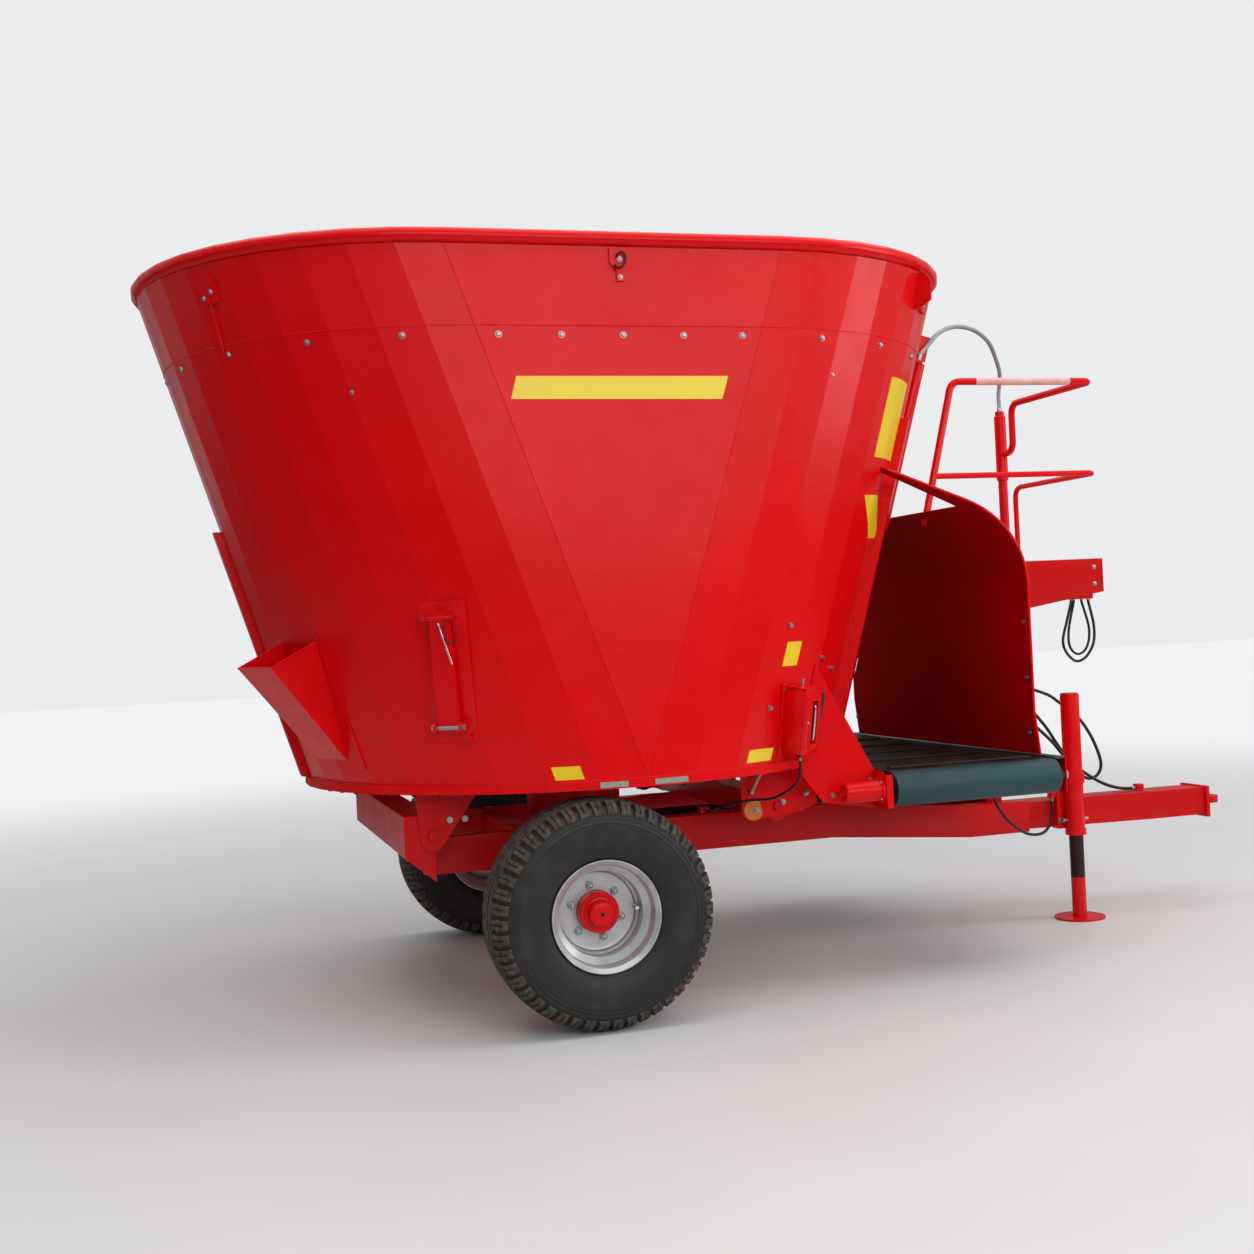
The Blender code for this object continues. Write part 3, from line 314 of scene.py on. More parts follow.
def belt_rubber():
    """Rubber cast over a weave of threads 6 mm apart, green past 0.99 m from the wagon's middle."""
    made = Finish("woven_conveyor_rubber", Specular_IOR_Level=0.4)
    lumps = made.noise(160, 5)
    web = made.mixed(made.spread(lumps, 0.35, 0.7), "#17110F", "#2E2623")
    split = node(made.tree, "ShaderNodeSeparateXYZ", {"Vector": made.place})
    reach = node(made.tree, "ShaderNodeMath", {0: split.outputs["Y"]}, operation="ABSOLUTE").outputs[0]
    made.colour(made.mixed(made.spread(reach, 0.985, 0.995), web, "#1F4247"))
    made.rough(made.spread(lumps, 0.3, 0.7, 0.42, 0.66))
    across, along = [
        node(made.tree, "ShaderNodeTexWave", {"Vector": made.place, "Scale": 1000 / 6 / 20},
             wave_type="BANDS", bands_direction=axis).outputs["Fac"] for axis in "XY"]
    made.bump(made.times(across, along), 0.8, 0.6)
    return made.material


belt_finish = belt_rubber()


def plastic(name, dark, light, roughness, size_mm=120):
    made = Finish(name)
    made.bump(made.noise(1.5, 2), 0.05, 0.4)
    return made.mottle(made.noise(size_mm, 3), dark, light, roughness - 0.04, roughness + 0.06)


grey_conduit = plastic("corrugated_grey_conduit", "#8A8E92", "#A3A7AA", 0.38)
shaft_guard = plastic("moulded_black_shaft_guard", "#1A1A1B", "#29292A", 0.45)
amber_plastic = plastic("moulded_amber_plastic", "#C9661A", "#DD8026", 0.35, 30)
yellow_vinyl = plastic("printed_yellow_vinyl", "#EBC80E", "#F4D81E", 0.3, 200)
grip_tan = plastic("tan_lever_grip", "#A88A63", "#BFA27A", 0.5, 20)
knob_red = plastic("moulded_red_knob", "#B30D12", "#C91419", 0.3, 20)
tape = plastic("grey_green_reflective_tape", "#7F8A80", "#A3AD9F", 0.25, 12)
# Pale pink over red: a painted highlight on the top rail.
rail_highlight_paint = plastic("painted_highlight_rail_paint", "#D98A83", "#EBC5BF", 0.35, 70)
# Near-black red: painted shade inside the indicator box.
slot_painted_shade = plastic("painted_shade_box_inside", "#1B0505", "#2A0809", 0.6, 40)

# %% [markdown]
# ## Wheel and roller paint
#
# The wheels have aluminium-coloured enamel, which holds fine flakes: partly metallic, with a soft gloss.
# The conveyor's drums are dark green-blue enamel, scuffed along their length by the belt's edge.

# %% Wheel and roller paint


def patchy_enamel(name, dark, light, size_mm, stretch, low, high, rough_high, **shader_values):
    made = Finish(name, **shader_values)
    return made.mottle(made.noise(size_mm, 5, stretch), dark, light, 0.28, rough_high, (low, high))


silver_enamel = patchy_enamel("silver_wheel_enamel", "#B4B6B8", "#CDCFD1", 90, None, 0.35, 0.75, 0.42,
                              Metallic=0.55, Coat_Weight=0.2, Coat_Roughness=0.15)
green_enamel = patchy_enamel("scuffed_green_drum_enamel", "#17302F", "#31504E", 50, (0.12, 1.0, 1.0),
                             0.5, 0.8, 0.46, Coat_Weight=0.3, Coat_Roughness=0.2)
print("finishes:", len(bpy.data.materials))

# %% [markdown]
# ## Dressing the solids
#
# The solids are loose triangles with flat shading. A small geometry modifier merges their corners and
# smooths every edge that turns less than 35 degrees, so that tubes and rollers look round. The tub's
# press-bent flats turn by about 9.5 degrees and must stay crisp, so their nodes get a limit of 4. Plates
# and bars that were cut and welded get narrow rounded edges. The jack's leg is greased above and red at its
# foot.

# %% Smooth shading by angle
MERGE_M = 0.00002


def smoothing(name, limit_deg):
    """A node group that merges a mesh's doubles and smooths the edges that turn less than the limit."""
    tree = bpy.data.node_groups.new(name, "GeometryNodeTree")
    tree.interface.new_socket("Geometry", in_out="INPUT", socket_type="NodeSocketGeometry")
    tree.interface.new_socket("Geometry", in_out="OUTPUT", socket_type="NodeSocketGeometry")
    start = node(tree, "NodeGroupInput")
    merged = node(tree, "GeometryNodeMergeByDistance",
                  {"Geometry": start.outputs[0], "Distance": MERGE_M})
    faces = node(tree, "GeometryNodeSetShadeSmooth", {"Geometry": merged.outputs[0]}, domain="FACE")
    turn = node(tree, "GeometryNodeInputMeshEdgeAngle")
    sharp = node(tree, "FunctionNodeCompare", {"A": turn.outputs[0], "B": radians(limit_deg)},
                 data_type="FLOAT", operation="GREATER_THAN")
    edges = node(tree, "GeometryNodeSetShadeSmooth",
                 {"Geometry": faces.outputs[0], "Selection": sharp.outputs[0], "Shade Smooth": False},
                 domain="EDGE")
    tree.links.new(edges.outputs[0], node(tree, "NodeGroupOutput").inputs[0])
    return tree


leg_made = Finish("greased_and_red_jack_leg", Roughness=0.42, Specular_IOR_Level=0.25)
leg_made.colour(leg_made.mixed(leg_made.height(0.199, 0.201), "#2E1516", "#D4050C"))
leg_made.bump(leg_made.noise(40), 0.1)
round_solids = smoothing("smooth_round_solids", 35)
flat_sheets = smoothing("keep_press_bent_flats", 4)
BENT = ("tub_rear_shell", "tub_front_shell", "tub_extension_ring", "tub_bottom_ring", "front_door",
        "rear_door", "front_door_frame", "rear_door_frame", "mineral_hopper", "tub_floor")
CHASSIS = ("axle_beam", "drawbar", "hitch_eye", "gearbox", "drive_bearing", "cross_member", "platform",
           "conveyor_frame", "chassis_rail_left", "chassis_rail_right", "front_support_beam",
           "rear_support_beam")
special = {"front_door": stainless, "front_door_rod": chrome, "rear_door_rod": chrome, "auger": auger_steel,
           "conveyor_belt": belt_finish, "conveyor_roller_left": green_enamel,
           "conveyor_roller_right": green_enamel, "drive_shaft": shaft_guard, "jack_leg": leg_made.material}
BEVELLED = ("chassis_rail_left", "chassis_rail_right", "drawbar", "cross_member", "axle_beam",
            "drive_bearing", "platform", "hitch_eye", "ladder", "door_indicator_box", "jack_tube")
for name, solid in nodes.items():
    finish = special.get(name, chassis_enamel if name in CHASSIS else red_enamel)
    solid.data.materials.clear()
    solid.data.materials.append(finish)
    if name in BEVELLED:
        weld = solid.modifiers.new("joined_corners", "WELD")
        weld.merge_threshold = MERGE_M
        edge = solid.modifiers.new("rounded_edges", "BEVEL")
        edge.width, edge.segments, edge.limit_method = 0.0025, 2, "ANGLE"
        edge.angle_limit = radians(40)
    shading = solid.modifiers.new("smooth_by_angle", "NODES")
    shading.node_group = flat_sheets if name in BENT else round_solids
print("dressed", len(nodes), "solids")

# %% [markdown]
# ## Placing and making pieces
#
# Every new piece is made where it belongs, in the wagon's own frame, so its object sits at the origin. A
# round part is a profile spun about an axis, and a bolt or a bar is a primitive placed by a matrix. One
# function turns a finished bmesh into a piece that rides on a body, as a rule the wagon's, in its red
# paint.

# %% Piece helpers


def riding(name, data, body):
    made = new_object(name, data)
    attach(made, body)
    print("made", name, "on", body)
    return made


def piece(name, bm, finish, body="wagon", smooth_deg=35):
    """A finished bmesh becomes a piece with its finish, riding on a body."""
    bmesh.ops.remove_doubles(bm, verts=bm.verts, dist=1e-6)
    bmesh.ops.recalc_face_normals(bm, faces=bm.faces)
    mesh = bpy.data.meshes.new(name)
    bm.to_mesh(mesh)
    bm.free()
    mesh.materials.append(finish)
    mesh.shade_smooth()
    mesh.set_sharp_from_angle(angle=radians(smooth_deg))
    return riding(name, mesh, body)


def facing(origin, along):
    """A placing matrix whose third axis points along a direction."""
    turn = Vector(along).normalized().to_track_quat("Z", "Y").to_matrix().to_4x4()
    return Matrix.Translation(Vector(origin)) @ turn


def moved(place, u, v, w):
    """A placing matrix moved along its own axes."""
    return place @ Matrix.Translation(Vector((u, v, w)))


def placed(place, points):
    return [place @ Vector(p) for p in points]


def push(bm, grown, by):
    """Moves the corners that an extrusion has just made."""
    bmesh.ops.translate(bm, verts=[v for v in grown["geom"] if isinstance(v, bmesh.types.BMVert)], vec=by)


def add_spun(bm, place, profile, steps=24):
    """Spins (radius, height) points about the third axis of a placing matrix."""
    verts = [bm.verts.new(place @ Vector((r, 0, h))) for r, h in profile]
    edges = [bm.edges.new(pair) for pair in zip(verts, verts[1:])]
    bmesh.ops.spin(bm, geom=verts + edges, cent=place.translation, axis=place.col[2].to_3d(),
                   angle=2 * pi, steps=steps, use_merge=True)


def add_rod(bm, start, end, radius, sides=16, end_radius=None):
    start, end = Vector(start), Vector(end)
    place = facing((start + end) / 2, end - start)
    bmesh.ops.create_cone(bm, cap_ends=True, segments=sides, radius1=radius,
                          radius2=radius if end_radius is None else end_radius,
                          depth=(end - start).length, matrix=place)


def add_block(bm, place, low, high, edge=0.0):
    """A box between two corners in the axes of a placing matrix, with its edges rounded."""
    low, high = Vector(low), Vector(high)
    scale = Matrix.Diagonal((*(high - low), 1))
    made = bmesh.ops.create_cube(bm, size=1, matrix=moved(place, *(low + high) / 2) @ scale)
    if edge:
        edges = list({e for v in made["verts"] for e in v.link_edges})
        bmesh.ops.bevel(bm, geom=edges, offset=edge, affect="EDGES", segments=2, profile=0.5, material=-1)


def add_plate(bm, place, outline, low, high):
    """A flat outline in a placing matrix's first two axes, extruded along its third."""
    face = bm.faces.new([bm.verts.new(place @ Vector((u, v, low))) for u, v in outline])
    grown = bmesh.ops.extrude_face_region(bm, geom=[face])
    push(bm, grown, place.col[2].to_3d() * (high - low))


M6, M12 = (0.01, 0.005), (0.019, 0.01, 0.013)  # across the flats, head's height, washer's radius


def add_hex_bolt(bm, place, across, head, washer=0.0, stud=0.0):
    """A hexagon head on an optional washer, with the stud's end showing where it is a nut."""
    if washer:
        add_spun(bm, place, [(0, 0), (washer, 0), (washer, 0.0025), (0, 0.0025)], 20)
    base = 0.0025 if washer else 0.0
    corner_r = across / 2 * 1.155
    bmesh.ops.create_cone(bm, cap_ends=True, segments=6, radius1=corner_r, radius2=corner_r, depth=head,
                          matrix=moved(place, 0, 0, base + head / 2))
    if stud:
        add_spun(bm, place, [(0, base), (stud, base), (stud, base + head + stud * 0.8),
                             (stud * 0.7, base + head + stud), (0, base + head + stud)], 12)


def add_dome(bm, place, radius, height, steps=20):
    """A low domed head, as on a coach bolt, on a thin washer."""
    profile = [(0, 0), (radius * 1.25, 0), (radius * 1.25, height * 0.18), (radius, height * 0.2),
               (radius * 0.92, height * 0.55), (radius * 0.65, height * 0.88), (0, height)]
    add_spun(bm, place, profile, steps)


def arc_points(centre, radius, start_deg, end_deg, steps):
    found = []
    for i in range(steps + 1):
        a = radians(start_deg + (end_deg - start_deg) * i / steps)
        found.append((centre[0] + radius * cos(a), centre[1] + radius * sin(a)))
    return found


def curve_piece(name, points, radius, finish, body="wagon", resolution=3,
                closed=False, radii=None):
    """A round bar, wire or bead along a line of points, kept as a curve."""
    curve = bpy.data.curves.new(name, "CURVE")
    curve.dimensions = "3D"
    curve.bevel_depth = radius
    curve.bevel_resolution = resolution
    curve.use_fill_caps = True
    spline = curve.splines.new("POLY")
    spline.points.add(len(points) - 1)
    spline.use_cyclic_u = closed
    spline.use_smooth = True
    for i, (point, at) in enumerate(zip(spline.points, points)):
        point.co = (*at, 1.0)
        point.radius = radii[i] if radii else 1.0
    curve.materials.append(finish)
    return riding(name, curve, body)


def smooth_route(points, spacing):
    """Evenly spaced points on a smooth curve through a route's own points."""
    points = [Vector(p) for p in points]
    padded = [points[0] * 2 - points[1], *points, points[-1] * 2 - points[-2]]
    fine = []
    for before, start, end, after in zip(padded, padded[1:], padded[2:], padded[3:]):
        leave, arrive = (end - before) / 2, (after - start) / 2
        for i in range(16):
            t = i / 16
            fine.append(start * (2 * t ** 3 - 3 * t ** 2 + 1) + leave * (t ** 3 - 2 * t ** 2 + t)
                        + end * (3 * t ** 2 - 2 * t ** 3) + arrive * (t ** 3 - t ** 2))
    fine.append(points[-1])
    steps = [(b - a).length for a, b in zip(fine, fine[1:])]
    count = max(round(sum(steps) / spacing), 4)
    even, walked, index = [fine[0]], 0.0, 0
    for i in range(1, count):
        target = sum(steps) * i / count
        while walked + steps[index] < target:
            walked += steps[index]
            index += 1
        even.append(fine[index].lerp(fine[index + 1], (target - walked) / steps[index]))
    return [*even, fine[-1]]


# %% [markdown]
# ## Where things are on the wall
#
# The wall is a circle at the foot that stretches lengthwise as it rises, pressed into flats. A place on it
# is a corner number, counted from the right-hand seam, and a height. These few functions give the place and
# the axes there, so that a bolt or a plate can be set down on its flat. The rest is measured from the axle.

# %% The tub's wall
AXLE_X = -1.0045
AXLE = Matrix.Translation((AXLE_X, 0, 0))
TUB_X = AXLE_X + 0.202
FACETS = 19
BASE_Z, TOP_Z = 0.946, 2.985
WELD_Z = 2.679
BASE_RADIUS, TOP_RADIUS, TOP_STRAIGHT = 1.163, 1.1, 1.36
TRACK = 2.134
WHEEL_Z = 0.4385
REAR, FRONT = -1, 1
RIGHT, LEFT = -1, 1
SIDES = ((RIGHT, "right"), (LEFT, "left"))
GAP = 0.0003


def wall_radius(z):
    return BASE_RADIUS + (TOP_RADIUS - BASE_RADIUS) * (z - BASE_Z) / (TOP_Z - BASE_Z)


def wall_straight(z):
    return TOP_STRAIGHT * max((z - BASE_Z) / (TOP_Z - BASE_Z), 0.0)


def wall_corner(end, k, z, off):
    a = k * pi / FACETS
    radius = wall_radius(z) + off
    return Vector((TUB_X + end * (wall_straight(z) / 2 + radius * sin(a)), -radius * cos(a), z))


def wall_point(end, k, z, off):
    low = min(int(k), FACETS - 1)
    return wall_corner(end, low, z, off).lerp(wall_corner(end, low + 1, z, off), k - low)


def on_facet(end, k, z, off=0.0):
    """Axes on the wall: first along the flat, second up the slope, third outwards."""
    low = int(k)
    first = low - 1 if k == low else low
    along = (wall_corner(end, low + 1, z, off) - wall_corner(end, first, z, off)).normalized() * end
    climb = (wall_point(end, k, z + 0.1, off) - wall_point(end, k, z - 0.1, off)).normalized()
    out = along.cross(climb).normalized()
    return Matrix.Translation(wall_point(end, k, z, off)) @ Matrix(
        (along, out.cross(along), out)).transposed().to_4x4()


def on_panel(side, x, z, off=0.0):
    """The same axes on one of the two flat side panels."""
    lean_y = (TOP_RADIUS - BASE_RADIUS) / (TOP_Z - BASE_Z)
    along = Vector((-side, 0, 0))
    climb = Vector((0, side * lean_y, 1)).normalized()
    turn = Matrix((along, climb, along.cross(climb))).transposed().to_4x4()
    return Matrix.Translation((x, side * (wall_radius(z) + off), z)) @ turn


def wall_line(z, off, per_flat=1):
    """Points all the way round the wall at one height."""
    stations = [i / per_flat for i in range(FACETS * per_flat + 1)]
    rear = [wall_point(REAR, k, z, off) for k in stations]
    return rear + [wall_point(FRONT, k, z, off) for k in reversed(stations)]


def from_axle(points):
    return [Vector((x + AXLE_X, y, z)) for x, y, z in points]


def on_side(side, x, y, z):
    """Faces outwards at a distance from the middle plane, on one side of the wagon."""
    return facing((AXLE_X + x, side * y, z), (0, side, 0))


def side_plane(side, y):
    """Axes on an upright plane along the wagon: first forwards, second up, third inwards."""
    return Matrix(((1, 0, 0, AXLE_X), (0, 0, -side, side * y), (0, 1, 0, 0), (0, 0, 0, 1)))


# %% [markdown]
# ## Hoses and the conduit
#
# The hydraulic hoses are rubber over a steel braid, crimped into zinc-plated ferrules. Each leaves its
# block straight for a little, then takes the wide bends that its stiffness allows. The three long ones hang
# in the loops in which they were hooked up for parking, and go back into the object at both ends. A grey
# conduit arches from the tub's rim to the platform's post. Their routes follow the photograph. Each is a
# curve with a round bevel, because a curve keeps its thickness through every bend.

# %% Routes, measured from the axle


def in_plane(y, points):
    """A route that hangs in one upright plane."""
    return [(x, y, z) for x, z in points]


HOSES = {  # route, diameter in metres
    "hose_platform_outer": (in_plane(-0.27, [
        (2.645, 1.5597), (2.645, 1.535), (2.616, 1.442), (2.591, 1.356), (2.605, 1.298), (2.656, 1.252),
        (2.712, 1.269), (2.757, 1.333), (2.764, 1.42), (2.74, 1.535), (2.74, 1.5597)]), 0.013),
    "hose_platform_inner": (in_plane(-0.25, [
        (2.672, 1.5597), (2.672, 1.535), (2.638, 1.403), (2.64, 1.322), (2.682, 1.284), (2.733, 1.316),
        (2.75, 1.406), (2.716, 1.535), (2.716, 1.5597)]), 0.012),
    "hose_hitch_loop": (in_plane(0.12, [
        (2.068, 1.16), (2.14, 1.16), (2.38, 1.156), (2.56, 1.13), (2.724, 1.079), (2.802, 1.028),
        (2.869, 0.979), (2.924, 0.924), (2.983, 0.828), (3.022, 0.715), (3.002, 0.653), (2.943, 0.635),
        (2.88, 0.682), (2.821, 0.753), (2.762, 0.84), (2.7, 0.93), (2.6, 1.03), (2.45, 1.095),
        (2.3, 1.119), (2.14, 1.12), (2.068, 1.12)]), 0.016),
    "hose_drawbar": (in_plane(0.03, [
        (2.068, 1.14), (2.15, 1.14), (2.33, 1.108), (2.46, 1.035), (2.58, 0.945), (2.689, 0.845),
        (2.742, 0.782), (2.814, 0.716), (2.897, 0.657), (2.976, 0.613), (3.05, 0.588), (3.115, 0.5785),
        (3.154, 0.5785)]), 0.016),
    "hose_low": ([
        (2.128, -0.35, 0.73), (2.128, -0.35, 0.69), (2.14, -0.348, 0.628), (2.178, -0.343, 0.562),
        (2.245, -0.33, 0.498), (2.337, -0.3, 0.45), (2.443, -0.25, 0.441), (2.53, -0.18, 0.475),
        (2.575, -0.123, 0.525), (2.589, -0.108, 0.56), (2.589, -0.108, 0.5847)], 0.014),
    "hose_indicator": ([
        (0.902, -0.98, 0.96), (0.902, -0.98, 0.935), (0.9, -0.98, 0.895), (0.89, -0.975, 0.864),
        (0.869, -0.96, 0.837), (0.831, -0.93, 0.809), (0.799, -0.88, 0.79), (0.748, -0.82, 0.785),
        (0.7, -0.785, 0.775), (0.66, -0.69, 0.75), (0.657, -0.6, 0.725), (0.66, -0.52, 0.716),
        (0.66, -0.48, 0.716)], 0.011),
}
CONDUIT = [(1.944, -0.262, 2.758), (2.013, -0.24, 2.822), (2.113, -0.17, 2.868), (2.246, -0.05, 2.9),
           (2.413, 0.1, 2.91), (2.57, 0.25, 2.884), (2.695, 0.4, 2.832), (2.77, 0.49, 2.755),
           (2.786, 0.54, 2.66), (2.786, 0.54, 2.59), (2.786, 0.54, 2.5603)]

# %% Lay the hoses


def hose(name, route, diameter, finish, ring_share=0.0):
    """A free hose along its route, with a crimped ferrule at each end."""
    first = route[0] + (route[1] - route[0]).normalized() * diameter
    last = route[-1] + (route[-2] - route[-1]).normalized() * diameter
    path = [route[0], *smooth_route([first, *route[1:-1], last], diameter * 0.9), route[-1]]
    radii = [1 - ring_share * (i % 2) for i in range(len(path))] if ring_share else None
    laid = curve_piece(name + "_dressed", path, diameter / 2, finish, "wagon", 4, radii=radii)
    bm = bmesh.new()
    for start, second in ((path[0], path[1]), (path[-1], path[-2])):
        r = diameter / 2
        add_spun(bm, facing(start, second - start), [
            (0, 0.0002), (r * 1.35, 0.0002), (r * 1.35, r * 0.8), (r * 1.18, r), (r * 1.18, r * 2.2),
            (r * 1.08, r * 2.4), (r * 0.9, r * 2.4), (0, r * 2.4)], 18)
    ferrules = piece(name + "_ferrules", bm, zinc)


for name, (route, diameter) in HOSES.items():
    hose(name, from_axle(route), diameter, hose_rubber)
CONDUIT_OUT = 0.028
conduit_place = on_facet(FRONT, 7.9, WELD_Z + 0.021)
conduit_start = placed(conduit_place, [(0, GAP, CONDUIT_OUT), (0, 0.025, CONDUIT_OUT)])
hose("indicator_conduit", conduit_start + from_axle(CONDUIT), 0.022, grey_conduit, 0.1)

# %% [markdown]
# ## The tyres
#
# A flotation tyre is moulded rubber: a smooth carcass, and a tread that stands about 12 mm off it. The
# carcass is one profile spun about the axle. Its shoulder blocks are short sweeps of one outline, each in
# two legs that a bridge joins at the sidewall, which leaves the U-shaped slit of the mould. Three ribs run
# round the crown, and every other ring of their corners is moved sideways, which gives their zigzag. The
# slits could be cut with booleans, but blocks that stand a little deep in the carcass are quicker and look
# the same.

# %% Tyre profiles


def mirrored(half):
    """A profile from its half on one side of the wheel's middle plane."""
    return half + [(r, -h) for r, h in reversed(half)]


SHOULDER_BLOCKS = 46
CARCASS = mirrored([
    (0.202, -0.111), (0.213, -0.12), (0.235, -0.1365), (0.262, -0.147), (0.285, -0.1515), (0.3, -0.153),
    (0.345, -0.1528), (0.347, -0.1512), (0.352, -0.151), (0.354, -0.1526), (0.36, -0.1522),
    (0.362, -0.1506), (0.368, -0.1495), (0.37, -0.1508), (0.376, -0.149), (0.392, -0.1385),
    (0.408, -0.124), (0.42, -0.1), (0.425, -0.07), (0.4265, -0.03)])
CARCASS += mirrored([(0.202, 0.095), (0.26, 0.133), (0.35, 0.131), (0.408, 0.095)]) + CARCASS[:1]
SHOULDER = [(0.384, -0.1458), (0.392, -0.1478), (0.41, -0.14), (0.426, -0.118), (0.4335, -0.096),
            (0.4355, -0.08), (0.424, -0.08), (0.415, -0.103), (0.405, -0.123), (0.388, -0.139)]
BRIDGE = [(0.384, -0.1456), (0.392, -0.147), (0.404, -0.1415), (0.398, -0.132), (0.388, -0.139)]
RIBS = ((0.0, 0.017, 0.4385), (-0.049, 0.018, 0.4365), (0.049, 0.018, 0.4365))  # middle, half width, radius


def add_sweep(bm, place, outline, start_deg, sweep_deg):
    """Turns a flat outline through part of a circle about a placing matrix's third axis."""
    turned = place @ Matrix.Rotation(radians(start_deg), 4, "Z")
    face = bm.faces.new([bm.verts.new(turned @ Vector((r, 0, h))) for r, h in outline])
    bmesh.ops.spin(bm, geom=[face], cent=place.translation, axis=place.col[2].to_3d(),
                   angle=radians(sweep_deg), steps=1, use_merge=False)


def add_zigzag_rib(bm, place, middle, half, top_r, steps, swing):
    known = set(bm.verts)
    add_spun(bm, place, [(0.424, middle - half), (top_r, middle - half + 0.002),
                         (top_r, middle + half - 0.002), (0.424, middle + half)], steps)
    back = place.inverted()
    odd, even = [], []
    for vert in set(bm.verts) - known:
        at = back @ vert.co
        (odd if round(atan2(at.y, at.x) * steps / (2 * pi)) % 2 else even).append(vert)
    axis = place.col[2].to_3d()
    bmesh.ops.translate(bm, verts=odd, vec=axis * swing)
    bmesh.ops.translate(bm, verts=even, vec=-axis * swing)


# %% Spin the tyres
for side, name in SIDES:
    place = on_side(side, 0, TRACK / 2, WHEEL_Z)
    bm = bmesh.new()
    add_spun(bm, place, CARCASS, 96)
    carcass = piece(f"tyre_carcass_{name}", bm, tyre_wall, f"wheel_{name}")
    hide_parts(f"tyre_{name}")
    bm = bmesh.new()
    pitch = 360 / SHOULDER_BLOCKS
    for half in (1, -1):
        for i in range(SHOULDER_BLOCKS):
            start = i * pitch + (pitch / 2 if half < 0 else 0)
            for outline, first, sweep in ((SHOULDER, 0.0, 2.3), (BRIDGE, 2.2, 0.8), (SHOULDER, 2.9, 2.3)):
                add_sweep(bm, place, [(r, h * half) for r, h in outline], start + first, sweep)
    for middle, half, top_r in RIBS:
        add_zigzag_rib(bm, place, middle, half, top_r, 2 * SHOULDER_BLOCKS, 0.004)
    piece(f"tyre_tread_{name}", bm, tyre_tread, f"wheel_{name}", 25)

# %% [markdown]
# ## Rims, nuts and hubs
#
# The rim is rolled steel: a bead along the flange, two seats, a well, and a disc set deep inside. Six wheel
# nuts clamp it, each with a domed end and a stud, and a bright cap covers the valve. The hub's cap stands
# out of the middle, with its grease nipple. The rim and the hub are round, so each is a profile spun about
# the axle.

# %% Rims and hubs
RIM_OUTSIDE = mirrored([(0.2135, -0.131), (0.215, -0.1285), (0.2135, -0.124), (0.207, -0.12),
                        (0.1984, -0.117), (0.1984, -0.06), (0.1704, -0.045)])
RIM_INSIDE = [(0.21, 0.1313), (0.2055, 0.1275), (0.2025, 0.1225), (0.196, 0.1185), (0.1935, 0.114),
              (0.1925, 0.1), (0.1905, 0.096), (0.1895, 0.068), (0.164, 0.05), (0.164, 0.004),
              (0.162, -0.003), (0.157, -0.006), (0.152, -0.01), (0.1485, -0.019), (0.135, -0.0225),
              (0.0805, -0.024), (0.0805, -0.034), (0.137, -0.034), (0.158, -0.027), (0.1644, -0.021),
              (0.1644, -0.05), (0.1925, -0.066), (0.1925, -0.118), (0.2, -0.122), (0.205, -0.1265),
              (0.209, -0.131), (0.2135, -0.131)]
HUB_PROFILE = [(0.0335, -0.085), (0.1, -0.085), (0.118, -0.08), (0.118, -0.0345), (0.079, -0.0345),
               (0.079, 0.02), (0.0765, 0.0235), (0.0625, 0.0245), (0.06, 0.027), (0.06, 0.033),
               (0.0525, 0.035), (0.0515, 0.054), (0.049, 0.059), (0.04, 0.065), (0.02, 0.0675),
               (0.0, 0.068)]
NUTS, STUD_CIRCLE_R, FIRST_NUT_DEG = 6, 0.1025, -17
for side, name in SIDES:
    place = on_side(side, 0, TRACK / 2, WHEEL_Z)
    bm = bmesh.new()
    add_spun(bm, place, RIM_OUTSIDE + RIM_INSIDE, 96)
    rim = piece(f"rolled_rim_{name}", bm, silver_enamel, f"wheel_{name}", 40)
    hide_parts(f"rim_{name}")
    bm = bmesh.new()
    for i in range(NUTS):
        angle = radians(FIRST_NUT_DEG + 360 / NUTS * i)
        seat = moved(place, STUD_CIRCLE_R * cos(angle), STUD_CIRCLE_R * sin(angle), -0.0238)
        add_spun(bm, seat, [(0, 0), (0.017, 0), (0.0155, 0.004), (0, 0.004)], 20)
        add_hex_bolt(bm, moved(seat, 0, 0, 0.003), 0.024, 0.014, stud=0.007)
        add_dome(bm, moved(seat, 0, 0, 0.0165), 0.0095, 0.005, 16)
    piece(f"wheel_nuts_{name}", bm, zinc, f"wheel_{name}")
    bm = bmesh.new()
    valve = moved(place @ Matrix.Rotation(radians(3 if side == RIGHT else 177), 4, "Z"), 0.146, 0, 0)
    add_spun(bm, valve, [(0, -0.012), (0.0065, -0.012), (0.0065, 0.004), (0.0105, 0.006), (0.0105, 0.034),
                         (0.0085, 0.038), (0, 0.039)], 20)
    piece(f"valve_cap_{name}", bm, chrome, f"wheel_{name}")
    bm = bmesh.new()
    add_spun(bm, place, [*HUB_PROFILE, (0.0, 0.024), (0.0335, 0.024), (0.0335, -0.085)], 48)
    hub = piece(f"hub_and_cap_{name}", bm, red_enamel, f"wheel_{name}")
    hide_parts(f"hub_{name}")
    bm = bmesh.new()
    nipple = moved(place, 0, 0, 0.0675)
    add_spun(bm, nipple, [(0, 0), (0.008, 0), (0.008, 0.003), (0.004, 0.004), (0.0035, 0.009),
                          (0.0045, 0.011), (0.003, 0.014), (0, 0.0145)], 12)
    piece(f"grease_nipple_{name}", bm, oxide_steel, f"wheel_{name}")

# %% [markdown]
# ## Weld beads and the bolt row
#
# The tub is welded from bent sheets. A fine bead runs along each seam: up the four edges of the flat side
# panels, and round the wall where the extension ring starts. Just under that seam is a row of coach bolts,
# about 245 mm apart, whose zinc heads stand out against the red. A bead is a thin round line laid on the
# wall, which leaves the sheets as they are.

